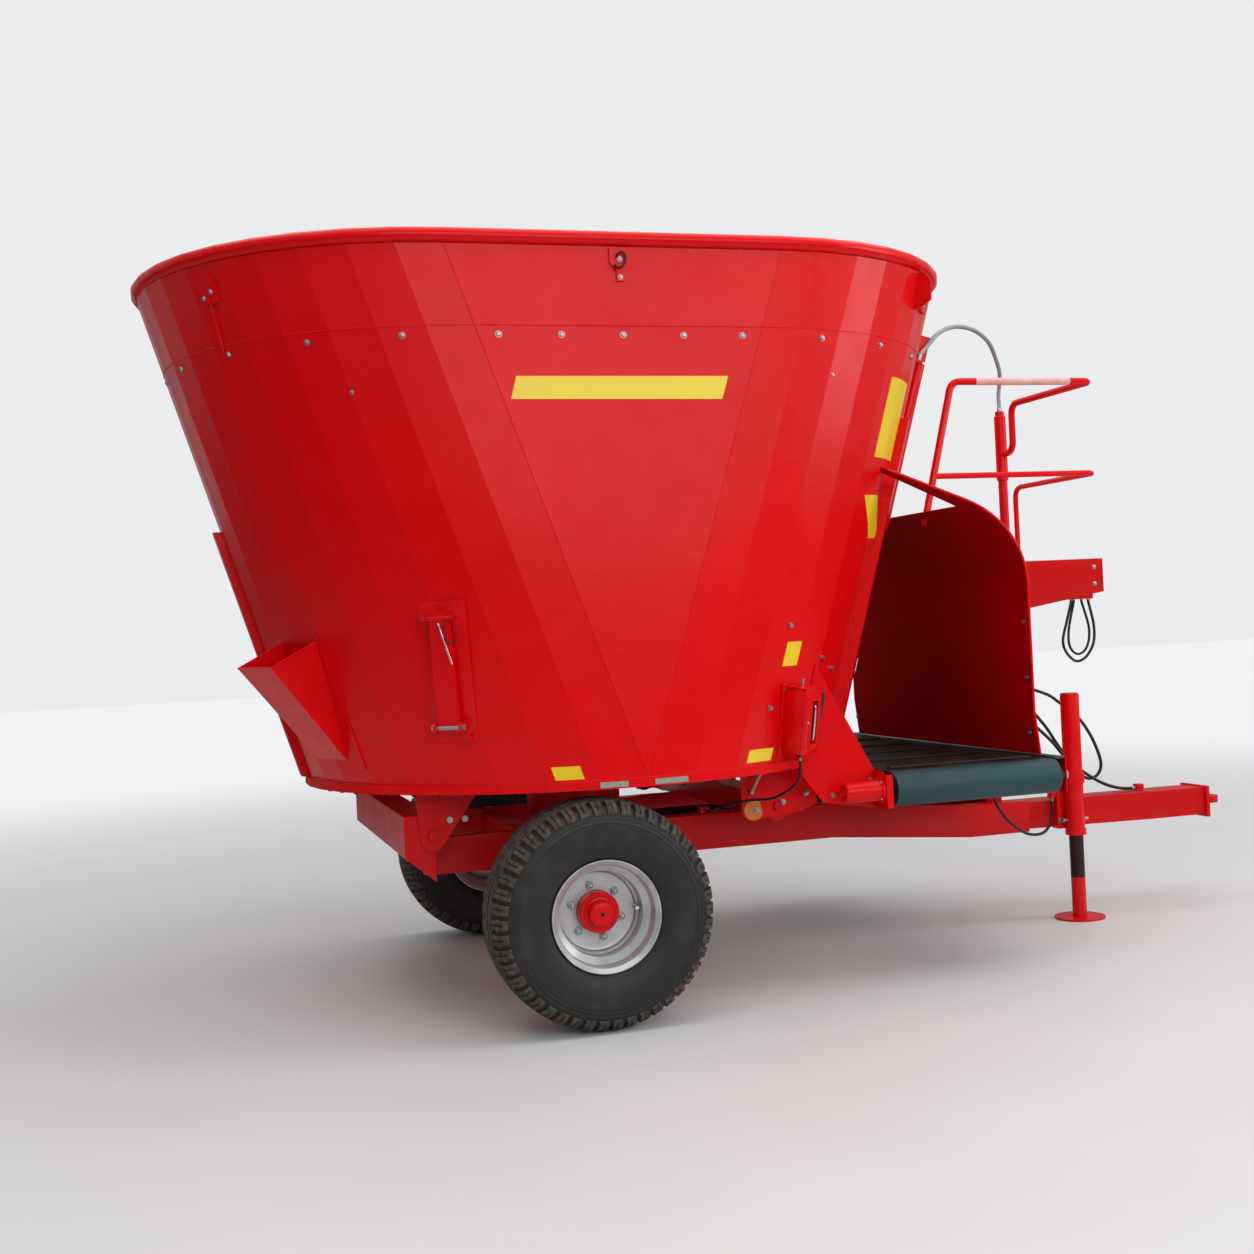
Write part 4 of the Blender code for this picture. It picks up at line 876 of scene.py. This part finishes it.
# %% Weld beads
SEAM_OUT = 0.0004
for name, line, radius in (("extension", wall_line(WELD_Z, SEAM_OUT), 0.0021),
                           ("ring", wall_line(BASE_Z + 0.001, 0.0015), 0.003)):
    curve_piece(f"{name}_weld_bead", line, radius, red_enamel, resolution=2, closed=True)
for end, end_name in ((REAR, "rear"), (FRONT, "front")):
    for k, seam_side in ((0, "right"), (FACETS, "left")):
        line = [wall_corner(end, k, BASE_Z + (TOP_Z - BASE_Z) * i / 12, SEAM_OUT) for i in range(13)]
        curve_piece(f"seam_bead_{end_name}_{seam_side}", line, 0.0018, red_enamel, resolution=2)

# %% Coach bolts below the extension ring
BOLT_ROW_Z = 2.643
END_BOLTS = (1.55, 3.55, 5.6, 7.6, 9.5, 11.4, 13.4, 15.45, 17.45)
PANEL_BOLTS = (-0.49, -0.245, 0.0, 0.245, 0.49)
ODD_BOLTS = ((REAR, 2.99, 2.446), (FRONT, 2.09, 2.498), (REAR, 16.01, 2.446), (FRONT, 16.91, 2.498))
LOWER_BOLTS = ((FRONT, 2.576, 1.172), (FRONT, 2.61, 1.496), (FRONT, 4.048, 1.357), (FRONT, 4.7, 1.307))
bm = bmesh.new()
for end in (REAR, FRONT):
    for k in END_BOLTS:
        add_dome(bm, on_facet(end, k, BOLT_ROW_Z, GAP), 0.0105, 0.01)
for side in (RIGHT, LEFT):
    for offset in PANEL_BOLTS:
        add_dome(bm, on_panel(side, TUB_X + offset, BOLT_ROW_Z, GAP), 0.0105, 0.01)
for end, k, z in ODD_BOLTS:
    add_dome(bm, on_facet(end, k, z, GAP), 0.008, 0.008)
for end, k, z in LOWER_BOLTS:
    add_hex_bolt(bm, on_facet(end, k, z, GAP), 0.016, 0.008, washer=0.011)
piece("tub_bolts", bm, zinc)

# %% [markdown]
# ## Stripes and plates
#
# The flat side carries a slanted yellow stripe, and small yellow plates are stuck low on the wall and
# beside the hood. They are plain vinyl, less than a millimetre thick. One that crosses a bend is laid flat
# by flat, so that it follows the wall. The material could paint them on by a mask, but a thin sheet has a
# real edge.

# %% Yellow vinyl
VINYL = (0.0002, 0.0009)


def add_wall_plate(bm, end, corners, low, high):
    """A sheet through (place round the wall, height) corners on one flat, pulled outwards."""
    middle_k = sum(k for k, z in corners) / len(corners)
    out = on_facet(end, middle_k, corners[0][1]).col[2].to_3d()
    face = bm.faces.new([bm.verts.new(wall_point(end, k, z, low)) for k, z in corners])
    grown = bmesh.ops.extrude_face_region(bm, geom=[face])
    push(bm, grown, out * (high - low))


def add_wall_band(bm, end, k0, k1, z0, z1, low, high):
    """A plate between two places and two heights, laid flat by flat."""
    stations = [k0, *[k for k in range(FACETS + 1) if k0 < k < k1], k1]
    for a, b in zip(stations, stations[1:]):
        add_wall_plate(bm, end, [(a, z0), (b, z0), (b, z1), (a, z1)], low, high)


STRIPE_Z = 2.44
STRIPE = ((-0.4549, -0.042), (-0.4308, 0.045), (0.4198, 0.044), (0.3888, -0.046))
bm = bmesh.new()
for side in (RIGHT, LEFT):
    add_plate(bm, on_panel(side, TUB_X, STRIPE_Z), [(-side * u, v) for u, v in STRIPE], *VINYL)
piece("yellow_side_stripe", bm, yellow_vinyl)
bm = bmesh.new()
for k0, k1, z0, z1 in ((4.47, 5.86, 2.19, 2.53), (2.66, 3.12, 1.334, 1.43), (2.27, 2.97, 0.962, 1.012)):
    add_wall_band(bm, FRONT, k0, k1, z0, z1, *VINYL)
add_wall_band(bm, REAR, 1.28, 1.85, 0.955, 1.006, *VINYL)
for corners in ([(4.42, 2.028), (5, 2.033), (5, 1.911)], [(6, 1.894), (6.17, 1.858), (6, 1.857)],
                [(5, 2.033), (5.33, 2.036), (6, 1.894), (6, 1.857), (5.29, 1.852), (5, 1.911)]):
    add_wall_plate(bm, FRONT, corners, *VINYL)
piece("yellow_blank_plates", bm, yellow_vinyl)

# %% [markdown]
# ## Lifting lugs
#
# Plates under the rim take the shackles of a crane. The middle one on each side is a narrow tab with two
# bolts, and a dark snap hook hangs from it on the near side. At the front an ear stands out from the ring.
# A plate is one outline, extruded, and the hook is bent from wire, so it is a curve.

# %% Lugs and hook
TAB_OUTLINE = [(-0.04, -0.002), (-0.04, -0.06), (-0.015, -0.085), (-0.015, -0.13), (0.015, -0.13),
               (0.015, -0.085), (0.04, -0.06), (0.04, -0.002)]
EAR_OUTLINE = [(0.0, -0.08), (-0.02, -0.08), (-0.07, -0.035), (-0.06, 0.045), (-0.03, 0.075), (0.0, 0.075)]
bm, bolts = bmesh.new(), bmesh.new()
for side in (RIGHT, LEFT):
    place = on_panel(side, TUB_X, TOP_Z - 0.005)
    add_plate(bm, place, TAB_OUTLINE, GAP, 0.01)
    for v in (-0.045, -0.115):
        add_dome(bolts, moved(place, 0, v, 0.01), 0.008, 0.007)
for k in (4.8, FACETS - 4.8):
    place = on_facet(FRONT, k, TOP_Z - 0.075)
    ear = place @ Matrix.Rotation(pi / 2, 4, "Y")
    add_plate(bm, moved(ear, 0, 0, -0.006), EAR_OUTLINE, 0, 0.012)
for end in (REAR, FRONT):
    for k in (5.5, FACETS - 5.5):
        for u, v in ((-0.022, -0.025), (0.022, -0.005)):
            add_dome(bolts, on_facet(end, k, TOP_Z - 0.1) @ Matrix.Translation((u, v, 0.012)), 0.009, 0.008)
piece("lifting_lugs", bm, red_enamel)
piece("lug_bolts", bolts, zinc)
hook_place = on_panel(RIGHT, TUB_X, TOP_Z - 0.055)
hook = [(-0.014, 0.01, 0.016), (-0.006, 0.026, 0.022), (0.01, 0.028, 0.024), (0.02, 0.014, 0.024),
        (0.018, -0.008, 0.024), (0.004, -0.026, 0.022), (-0.014, -0.03, 0.02), (-0.022, -0.018, 0.018)]
curve_piece("rim_snap_hook", smooth_route(placed(hook_place, hook), 0.006), 0.0045, oxide_steel)
rod = [(0.004, -0.02, 0.018), (0.006, -0.06, 0.012), (0.008, -0.17, 0.007), (0.012, -0.262, 0.006)]
curve_piece("rim_lug_rod", placed(on_facet(REAR, 5.5, TOP_Z - 0.1), rod), 0.0035, red_enamel)

# %% [markdown]
# ## The counter-knives
#
# A counter-knife is a blade that swings through a slot in the wall and holds the feed back against the
# screw. Its lever is a folded channel on a hinge bolt between two ears, with a cross bar as its grip. A
# linch pin on a lanyard locks it. The blade stays with the lever, so it swings into the tub with it. The
# channel could be one folded sheet, but a face plate with two side plates keeps its corners crisp.

# %% Counter-knives
KNIVES = {"right": (REAR, 3.5), "left": (FRONT, 16.5)}
HINGE_Z, PIN_OUT, PIN_HALF = 1.18, 0.04, 0.0575
KNIFE_FRAME = ((-0.09, -0.016, -0.06, 0.48, 0.006), (0.016, 0.1, -0.06, 0.48, 0.006),
               (-0.018, 0.018, -0.06, 0.052, 0.0058), (-0.018, 0.018, 0.363, 0.48, 0.0058))
BLADE = arc_points((0.0, 0.037), 0.335, 0, -38, 10) + arc_points((0.0, 0.037), 0.11, -38, 0, 4)
LINCH_PIN = [(0.004, 0.4, 0.048), (0.01, 0.395, 0.054), (0.02, 0.35, 0.055), (0.034, 0.29, 0.052),
             (0.044, 0.245, 0.048)]


def side_turn(place):
    """The same place with its axes turned, so that an outline is up the wall and out from it."""
    return place @ Matrix(((0, 0, 1, 0), (1, 0, 0, 0), (0, 1, 0, 0), (0, 0, 0, 1)))


for name, (end, k) in KNIVES.items():
    place = on_facet(end, k, HINGE_Z)
    upright = side_turn(place)
    bm = bmesh.new()
    for u0, u1, v0, v1, thick in KNIFE_FRAME:
        add_block(bm, place, (u0, v0, GAP), (u1, v1, thick), 0.0012)
    for u in (-0.052, 0.052):
        outline = [(-0.024, 0.004), (0.024, 0.004), *arc_points((0.0, 0.042), 0.022, 0, 180, 8)]
        add_plate(bm, upright, outline, u - 0.005, u + 0.005)
    add_plate(bm, upright, [(-0.06, 0.005), (-0.034, 0.005), *arc_points((-0.047, 0.026), 0.013, 0, 180, 6)],
              0.07, 0.082)
    plate = piece(f"knife_plate_{name}", bm, red_enamel)
    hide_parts(f"counter_knife_plate_{name}")

    bm = bmesh.new()
    add_plate(bm, place, [(-0.042, -0.02), (0.042, -0.02), (0.042, 0.2), (0.034, 0.446), (-0.034, 0.446),
                          (-0.042, 0.2)], 0.036, 0.041)
    for side in (-1, 1):
        add_plate(bm, upright, [(-0.018, 0.01), (0.43, 0.016), (0.443, 0.036), (-0.018, 0.036)],
                  side * 0.038 - 0.003, side * 0.038 + 0.003)
    add_plate(bm, upright, BLADE, -0.005, 0.005)
    add_rod(bm, *placed(place, [(-0.062, 0.418, 0.036), (0.062, 0.418, 0.036)]), 0.0095)
    lever = piece(f"knife_lever_{name}", bm, red_enamel, f"knife_{name}")
    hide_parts(f"counter_knife_{name}")

    bm = bmesh.new()
    hinge = moved(place, 0, 0, PIN_OUT) @ Matrix.Rotation(pi / 2, 4, "Y")
    for flip in (0, pi):
        turned = hinge @ Matrix.Rotation(flip, 4, "X")
        add_hex_bolt(bm, moved(turned, 0, 0, PIN_HALF), 0.019, 0.009, washer=0.013)
    add_rod(bm, *placed(place, [(-PIN_HALF, 0, PIN_OUT), (PIN_HALF, 0, PIN_OUT)]), 0.0085)
    piece(f"knife_hinge_bolt_{name}", bm, zinc)
    curve_piece(f"knife_linch_pin_{name}", placed(place, LINCH_PIN), 0.0035, chrome, f"knife_{name}")
    for kind, (u, v, w), wide, tall, radius, step in (
            ("lanyard", (0.052, 0.375, 0.052), 0.024, 0.052, 0.0022, 15),
            ("key_ring", (-0.06, 0.4, 0.044), 0.02, 0.036, 0.0018, 20)):
        ring = [place @ Vector((u + wide * sin(a), v + tall * cos(a), w))
                for a in [radians(step * i) for i in range(1, 360 // step - 1)]]
        curve_piece(f"knife_{kind}_{name}", ring, radius, lanyard_rubber, f"knife_{name}")

# %% [markdown]
# ## The mineral hopper
#
# Minerals are tipped into a small chute on the tub's rear. It is folded from 4 mm sheet: two side plates, a
# sloping front, and a backing plate that is bent to follow the wall. The sheets start as single faces and
# get their thickness from solidify. Its mouth stays open.

# %% Mineral hopper
HOPPER_K, HOPPER_Z, HOPPER_HALF, HOPPER_FLARE = 7.0, 1.3, 0.128, 0.045
place = on_facet(REAR, HOPPER_K, HOPPER_Z)


def hopper_corner(side, v, w):
    return place @ Vector((side * (HOPPER_HALF + HOPPER_FLARE * v), v, w))


bm = bmesh.new()
rows = [[bm.verts.new(hopper_corner(side, v, w)) for v, w in (
    (-0.262, 0.004), (0.196, 0.214), (0.232, -0.004), (-0.262, -0.006))] for side in (-1, 1)]
for row in rows:
    bm.faces.new(row)
bm.faces.new((rows[0][0], rows[0][1], rows[1][1], rows[1][0]))
bmesh.ops.recalc_face_normals(bm, faces=bm.faces)
bmesh.ops.solidify(bm, geom=bm.faces, thickness=0.004)
for edge_side in (-1, 1):
    add_rod(bm, hopper_corner(edge_side, 0.196, 0.214), hopper_corner(edge_side, 0.232, 0.002), 0.0035, 8)
add_rod(bm, hopper_corner(-1, 0.196, 0.214), hopper_corner(1, 0.196, 0.214), 0.0035, 8)
for a, b in ((HOPPER_K - 0.95, HOPPER_K), (HOPPER_K, HOPPER_K + 0.95)):
    add_wall_band(bm, REAR, a, b, 1.012, 1.558, GAP, 0.006)
hopper = piece("mineral_chute", bm, red_enamel)
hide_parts("mineral_hopper")

# %% [markdown]
# ## The conveyor's hood
#
# The hood is one sheet, rolled to a wide bend between its front and its sloping top. It narrows towards the
# tub and ends at the wall. Its profile is a line of edges that is extruded across, then cut by the plane of
# every flat of the wall, so that what lies inside the tub can be deleted. A notch leaves room for the front
# door.

# %% Hood
HOOD_FRONT_X, HOOD_LENGTH, HOOD_SHEET = AXLE_X + 2.036, 0.936, 0.004
HOOD_BEND_R, HOOD_BEND_Z, HOOD_BEND_END = 0.41, 1.62, 66.25
HOOD_SLOPE, HOOD_FOOT_Z, HOOD_FLARE, HOOD_FLARE_RISE = 0.44, 0.8865, 0.02, 0.19
HOOD_HALF, HOOD_NARROWING = 0.9, 0.229
NOTCH_HALF, NOTCH_X = 0.7, AXLE_X + 1.82
bend = arc_points((HOOD_FRONT_X - HOOD_BEND_R, HOOD_BEND_Z), HOOD_BEND_R, HOOD_BEND_END, 0, 16)
wall_planes = [on_facet(FRONT, k + 0.5, 1.9, 0.001) for k in range(FACETS)]


def hood_half(x):
    return HOOD_HALF - HOOD_NARROWING * max(HOOD_FRONT_X - x, 0)


def hood_top(x):
    return (x, bend[0][1] + (bend[0][0] - x) * HOOD_SLOPE)


def inside_tub(at):
    return all((at - plane.translation).dot(plane.col[2].to_3d()) < 0 for plane in wall_planes)


def inside_notch(at):
    return abs(at.y) < NOTCH_HALF and at.x < NOTCH_X


hood_line = [hood_top(HOOD_FRONT_X - HOOD_LENGTH), *bend, (HOOD_FRONT_X, HOOD_FOOT_Z + HOOD_FLARE_RISE),
             (HOOD_FRONT_X + HOOD_FLARE, HOOD_FOOT_Z)]
bm = bmesh.new()
verts = [bm.verts.new((x, 1.0, z)) for x, z in hood_line]
edges = [bm.edges.new(pair) for pair in zip(verts, verts[1:])]
push(bm, bmesh.ops.extrude_edge_only(bm, edges=edges), (0, -2.0, 0))
for vert in bm.verts:
    vert.co.y *= hood_half(vert.co.x)
cuts = [(plane.translation, plane.col[2].to_3d()) for plane in wall_planes]
for co, no in (*cuts, ((0, NOTCH_HALF, 0), (0, 1, 0)), ((0, -NOTCH_HALF, 0), (0, 1, 0)),
               ((NOTCH_X, 0, 0), (1, 0, 0))):
    bmesh.ops.bisect_plane(bm, geom=bm.verts[:] + bm.edges[:] + bm.faces[:], plane_co=co, plane_no=no)
middles = {face: face.calc_center_median() for face in bm.faces}
gone = [face for face, middle in middles.items() if inside_tub(middle) or inside_notch(middle)]
bmesh.ops.delete(bm, geom=gone, context="FACES")
bmesh.ops.recalc_face_normals(bm, faces=bm.faces)
bmesh.ops.solidify(bm, geom=bm.faces, thickness=HOOD_SHEET)
hood = piece("rolled_hood", bm, red_enamel)
# The hood's inward and downward faces take the darker red: painted shade under its roof.
hood.data.materials.append(hood_inside_shade.material)
for face in hood.data.polygons:
    face.material_index = int(face.normal.x + face.normal.z < -0.05)
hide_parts("conveyor_hood")

# %% Hood's edges, bolts and hose block
for side, name in SIDES:
    top = [hood_top(bend[0][0] - 0.03 * i) for i in range(17, -1, -1)]
    top = [Vector((x, side * hood_half(x), z)) for x, z in top]
    edge = [Vector((x - 0.002, side * hood_half(x), z)) for x, z in hood_line[2:]]
    line = [at for at in top if not inside_tub(at)] + edge
    curve_piece(f"hood_rolled_edge_{name}", line, 0.0055, red_enamel)
bm = bmesh.new()
add_block(bm, AXLE, (2.0405, 0.0, 1.09), (2.136, 0.15, 1.18), 0.004)
piece("hose_coupling_block", bm, red_enamel)
bm = bmesh.new()
for side in (RIGHT, LEFT):
    for z in (0.98, 1.22, 1.46):
        seat = facing((HOOD_FRONT_X - 0.0045, side * 0.865, z), (-1, 0, 0))
        add_hex_bolt(bm, seat, 0.016, 0.007, washer=0.01)
piece("hood_bolts", bm, zinc)

# %% [markdown]
# ## The cross conveyor
#
# Rubber slats lie across the belt and carry the feed. A green strip guards the foot of the hood, a
# hydraulic motor turns the roller's end, and a gusset ties the conveyor to the wall. The gusset is one
# outline, extruded.

# %% Conveyor pieces
SLAT_X, SLAT_HALF, SLAT_RISE, SLAT_PITCH = (1.34, 2.0), 0.02, 0.009, 0.36
BELT_TOP_Z, ROLLER_Y, ROLLER_Z = 0.875, 1.0, 0.8025
BELT_FOOT_Z = 2 * ROLLER_Z - BELT_TOP_Z
GUSSET = [(1.262, 0.862), (1.262, 0.7225), (1.02, 0.76), (0.93, 0.88), (0.929, 0.915), (0.929, 0.947),
          (0.906, 0.949), (1.0124, 1.3297)]
END_PLATE = [(1.2435, -1.058), (1.2435, -0.98), (1.2495, -0.98), (1.2495, -1.0525), (1.272, -1.0525),
             (1.272, -1.058)]
bm = bmesh.new()
for first_y, count, low_z, high_z in ((-0.88, 6, BELT_TOP_Z + 0.0002, BELT_TOP_Z + SLAT_RISE),
                                      (-0.7, 5, BELT_FOOT_Z - SLAT_RISE, BELT_FOOT_Z - 0.0002)):
    for y in [first_y + SLAT_PITCH * i for i in range(count)]:
        add_block(bm, AXLE, (SLAT_X[0], y - SLAT_HALF, low_z), (SLAT_X[1], y + SLAT_HALF, high_z), 0.003)
piece("belt_slats", bm, belt_finish, "wagon")
bm = bmesh.new()
add_block(bm, AXLE, (2.0515, -1.018, 0.872), (2.0975, 1.018, 0.884), 0.003)
piece("green_foot_strip", bm, green_enamel, "wagon")
bm = bmesh.new()
motor = facing((AXLE_X + 1.2437, -ROLLER_Y, ROLLER_Z), (-1, 0, 0))
add_spun(bm, motor, [(0, 0), (0.052, 0), (0.052, 0.012), (0.043, 0.014), (0.042, 0.02), (0.042, 0.145),
                     (0.0395, 0.15), (0.0395, 0.162), (0.034, 0.168), (0.016, 0.17), (0.014, 0.173),
                     (0, 0.1735)], 32)
drive_motor = piece("hydraulic_motor", bm, red_enamel)
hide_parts("conveyor_motor")
bm, metalwork = bmesh.new(), bmesh.new()
for i in range(4):
    turn = Matrix.Rotation(radians(45 + 90 * i), 4, "Z")
    add_hex_bolt(bm, motor @ moved(turn, 0.046, 0, 0.012), *M6)
for side in (RIGHT, LEFT):
    add_plate(metalwork, side_plane(side, 0.927), GUSSET, -0.0025, 0.0025)
    for x, z in ((1.235, 0.84), (1.235, 0.76), (1.06, 0.79)):
        add_hex_bolt(bm, on_side(side, x, 0.9296, z), 0.016, 0.008, washer=0.01)
    level_plane = Matrix(((1, 0, 0, AXLE_X), (0, -side, 0, 0), (0, 0, 1, 0), (0, 0, 0, 1)))
    add_plate(metalwork, level_plane, END_PLATE, 0.731, 0.868)
    shaft_end = Vector((AXLE_X + 2.104, side * ROLLER_Y, ROLLER_Z))
    add_rod(bm, shaft_end, shaft_end + Vector((0.008, 0, 0)), 0.02, 20)
piece("conveyor_bolts", bm, zinc, "wagon")
piece("conveyor_gussets", metalwork, red_enamel, "wagon")

# %% [markdown]
# ## The door's indicator and the tub's brackets
#
# A box on the wall has a slot in which a bright bar shows how far the door is open. A bent black pipe takes
# its hose down. The front bracket under the ring is a long plate with a rounded end, on which an amber
# plate is bolted. A lever with a tan grip and a red knob stands beside it. The bar and the pipe are bent,
# so they are curves, and the plates are outlines that are extruded.

# %% Indicator box
place = on_facet(FRONT, 3.35, 1.12)
# A near-black plate behind the slot: painted shade inside the box.
bm = bmesh.new()
add_block(bm, place, (0.0012, -0.0888, 0.0852), (0.0368, 0.0838, 0.0872))
piece("indicator_slot_painted_shade", bm, slot_painted_shade)
bar = [(0.019, -0.072, 0.086), (0.019, -0.07, 0.098), (0.019, -0.06, 0.104), (0.019, 0.052, 0.104),
       (0.019, 0.062, 0.098), (0.019, 0.064, 0.086)]
curve_piece("indicator_bright_bar", smooth_route(placed(place, bar), 0.006), 0.0052, chrome)
bm = bmesh.new()
for low, high, edge in (((-0.06, 0.1352, 0.01), (0.064, 0.1392, 0.11), 0.0012),
                        ((-0.045, -0.11, 0.1052), (-0.01, 0.11, 0.1072), 0.0008),
                        ((-0.075, -0.14, GAP), (-0.053, 0.145, 0.006), 0.001),
                        ((0.058, -0.14, GAP), (0.08, 0.145, 0.006), 0.001)):
    add_block(bm, place, low, high, edge)
piece("indicator_box_edges", bm, red_enamel)
bm = bmesh.new()
for u, v in ((-0.066, -0.12), (-0.066, 0.12), (0.07, -0.12), (0.07, 0.12)):
    add_hex_bolt(bm, moved(place, u, v, 0.006), *M6)
add_rod(bm, *placed(place, [(-0.02, 0.139, 0.06), (-0.02, 0.172, 0.06)]), 0.006, 14)
add_dome(bm, moved(place, -0.028, 0.0, 0.1072), 0.005, 0.003)
piece("indicator_bolts", bm, zinc)
pipe = [place @ Vector((0.05, 0.098, 0.06)), *[place.translation + Vector(p) for p in (
    (0.13, -0.0185, 0.105), (0.141, -0.0185, 0.08), (0.118, -0.0185, -0.013), (0.087, -0.0185, -0.104))],
    *from_axle([(0.902, -0.98, 0.99), (0.902, -0.98, 0.9603)])]
curve_piece("indicator_pipe", smooth_route(pipe, 0.008), 0.0075, shaft_guard, "wagon", 4)

# %% Brackets and lever
BRACKET = [(0.722, 0.9125), *arc_points((0.775, 0.742), 0.053, 180, 300, 8), (0.86, 0.702), (0.985, 0.713),
           (1.06, 0.745), (1.06, 0.9125)]
AMBER = [*arc_points((0.772, 0.736), 0.042, 90, 270, 10), (0.8, 0.7), (0.812, 0.72), (0.8, 0.77)]
bm, amber, bolts = bmesh.new(), bmesh.new(), bmesh.new()
for side in (RIGHT, LEFT):
    add_plate(bm, side_plane(side, 0.7595), BRACKET, -0.006, 0.0)
    add_plate(amber, side_plane(side, 0.7595), AMBER, -0.0105, -0.0062)
    for x, y, z in ((0.785, 0.77, 0.735), (0.905, 0.7657, 0.76), (1.01, 0.7657, 0.79)):
        add_hex_bolt(bolts, on_side(side, x, y, z), *M12, stud=0.006)
    for x in (-0.5, -0.44):
        add_hex_bolt(bolts, on_side(side, x, 0.7592, 0.8), *M12)
    add_rod(bolts, *from_axle([(0.76, side * y, 0.812) for y in (0.765, 0.796)]), 0.008, 12)
piece("front_bracket_plates", bm, red_enamel, "wagon")
piece("amber_bracket_plates", amber, amber_plastic, "wagon")
bm = bmesh.new()
grip_foot, grip_top = from_axle([(0.76, -0.788, 0.812), (0.79, -0.83, 0.9)])
add_rod(bm, grip_foot, grip_top, 0.006, 14, 0.008)
piece("valve_lever_stick", bm, grip_tan)
bm = bmesh.new()
add_spun(bm, facing(grip_top, grip_top - grip_foot), [
    (0, -0.004), (0.009, -0.002), (0.015, 0.006), (0.016, 0.014), (0.012, 0.023), (0.005, 0.027),
    (0, 0.0275)], 20)
piece("valve_lever_knob", bm, knob_red)

# %% Bolts and tape on the bottom ring
RING_FOOT_Z = 0.9125
bm = bmesh.new()
for i in range(31):
    for end in (REAR, FRONT):
        at = on_facet(end, 0.6 * i + 0.2, BASE_Z, -0.02).translation
        add_hex_bolt(bm, facing((at.x, at.y, RING_FOOT_Z), (0, 0, -1)), 0.017, 0.009)
piece("ring_bolts", bm, oxide_steel)
piece("bracket_bolts", bolts, zinc, "wagon")
bm = bmesh.new()
for end, k0, k1 in ((REAR, 0.45, 1.0), (FRONT, 0.1, 0.8)):
    add_wall_band(bm, end, k0, k1, 0.919, 0.94, 0.0152, 0.0158)
piece("reflective_tape", bm, tape)

# %% [markdown]
# ## Platform, rail and jack
#
# The platform's side plates are bolted on, and a pale pink sleeve on part of the top rail is a painted
# highlight. The hoses end in small clips. The jack has two collars, a cap and a pin through its tube.
# Sleeves and collars lie a little outside the tubes that they cover, so that no two faces share a place.

# %% Rail, clips and post
RAIL_X, RAIL_Y, RAIL_TOP_Z = AXLE_X + 2.16, -0.3171, 2.59
POST_X, POST_Y = AXLE_X + 2.7857, 0.54
CLIPS = (((2.625, -0.281, 1.548), (2.762, -0.259, 1.69)), ((2.652, -0.261, 1.548), (2.738, -0.239, 1.69)),
         ((2.104, -0.372, 0.731), (2.152, -0.328, 0.79)), ((2.572, -0.128, 0.585), (2.606, -0.09, 0.625)),
         ((3.1545, 0.01, 0.57), (3.195, 0.05, 0.598)), ((0.64, -0.478, 0.6995), (0.68, -0.44, 0.73)))


def add_upright(bm, x, y, z, profile, steps):
    add_spun(bm, facing((x, y, z), (0, 0, 1)), profile, steps)


bm = bmesh.new()
# A pale pink sleeve over part of the top rail: a painted highlight.
add_rod(bm, (RAIL_X, RAIL_Y, RAIL_TOP_Z), (RAIL_X + 0.5, RAIL_Y, RAIL_TOP_Z), 0.0173, 24)
piece("rail_painted_highlight_sleeve", bm, rail_highlight_paint)
bm, bolts = bmesh.new(), bmesh.new()
for side in (RIGHT, LEFT):
    for x, z in ((2.1, 1.7), (2.1, 1.53), (2.76, 1.7), (2.76, 1.62)):
        add_dome(bolts, on_side(side, x, 0.3002, z), 0.009, 0.006)
for low, high in CLIPS:
    add_block(bm, AXLE, low, high, 0.003)
add_block(bm, conduit_place, (-0.018, -0.016, GAP), (0.018, 0.0, 0.044), 0.002)
add_upright(bm, POST_X, POST_Y, 2.5602, [(0, 0), (0.024, 0), (0.024, 0.006), (0.014, 0.01), (0, 0.01)], 20)
add_upright(bm, POST_X, POST_Y, 2.2, [(0.0242, 0), (0.03, 0.003), (0.03, 0.34), (0.0242, 0.345)], 24)
piece("hose_clips_and_post_sleeve", bm, red_enamel, "wagon")

# %% Jack
JACK_X, JACK_Y, PIN_Z = AXLE_X + 2.673, -0.17, 0.48
bm = bmesh.new()
for z, profile in ((0.405, [(0.0452, 0), (0.05, 0.002), (0.05, 0.03), (0.0452, 0.033)]),
                   (0.655, [(0.0452, 0), (0.052, 0.003), (0.052, 0.05), (0.0452, 0.053)]),
                   (1.0852, [(0, 0), (0.044, 0), (0.0445, 0.003), (0.04, 0.01), (0, 0.012)])):
    add_upright(bm, JACK_X, JACK_Y, z, profile, 32)
piece("jack_collars", bm, red_enamel)
add_rod(bolts, (JACK_X - 0.07, JACK_Y, PIN_Z), (JACK_X + 0.07, JACK_Y, PIN_Z), 0.007, 14)
add_dome(bolts, facing((JACK_X - 0.064, JACK_Y, PIN_Z), (-1, 0, 0)), 0.011, 0.008)
for x in (2.615, 2.731):
    for z in (0.475, 0.65):
        add_hex_bolt(bolts, on_side(RIGHT, x, 0.1312, z), *M12)
piece("front_bolts", bolts, zinc, "wagon")
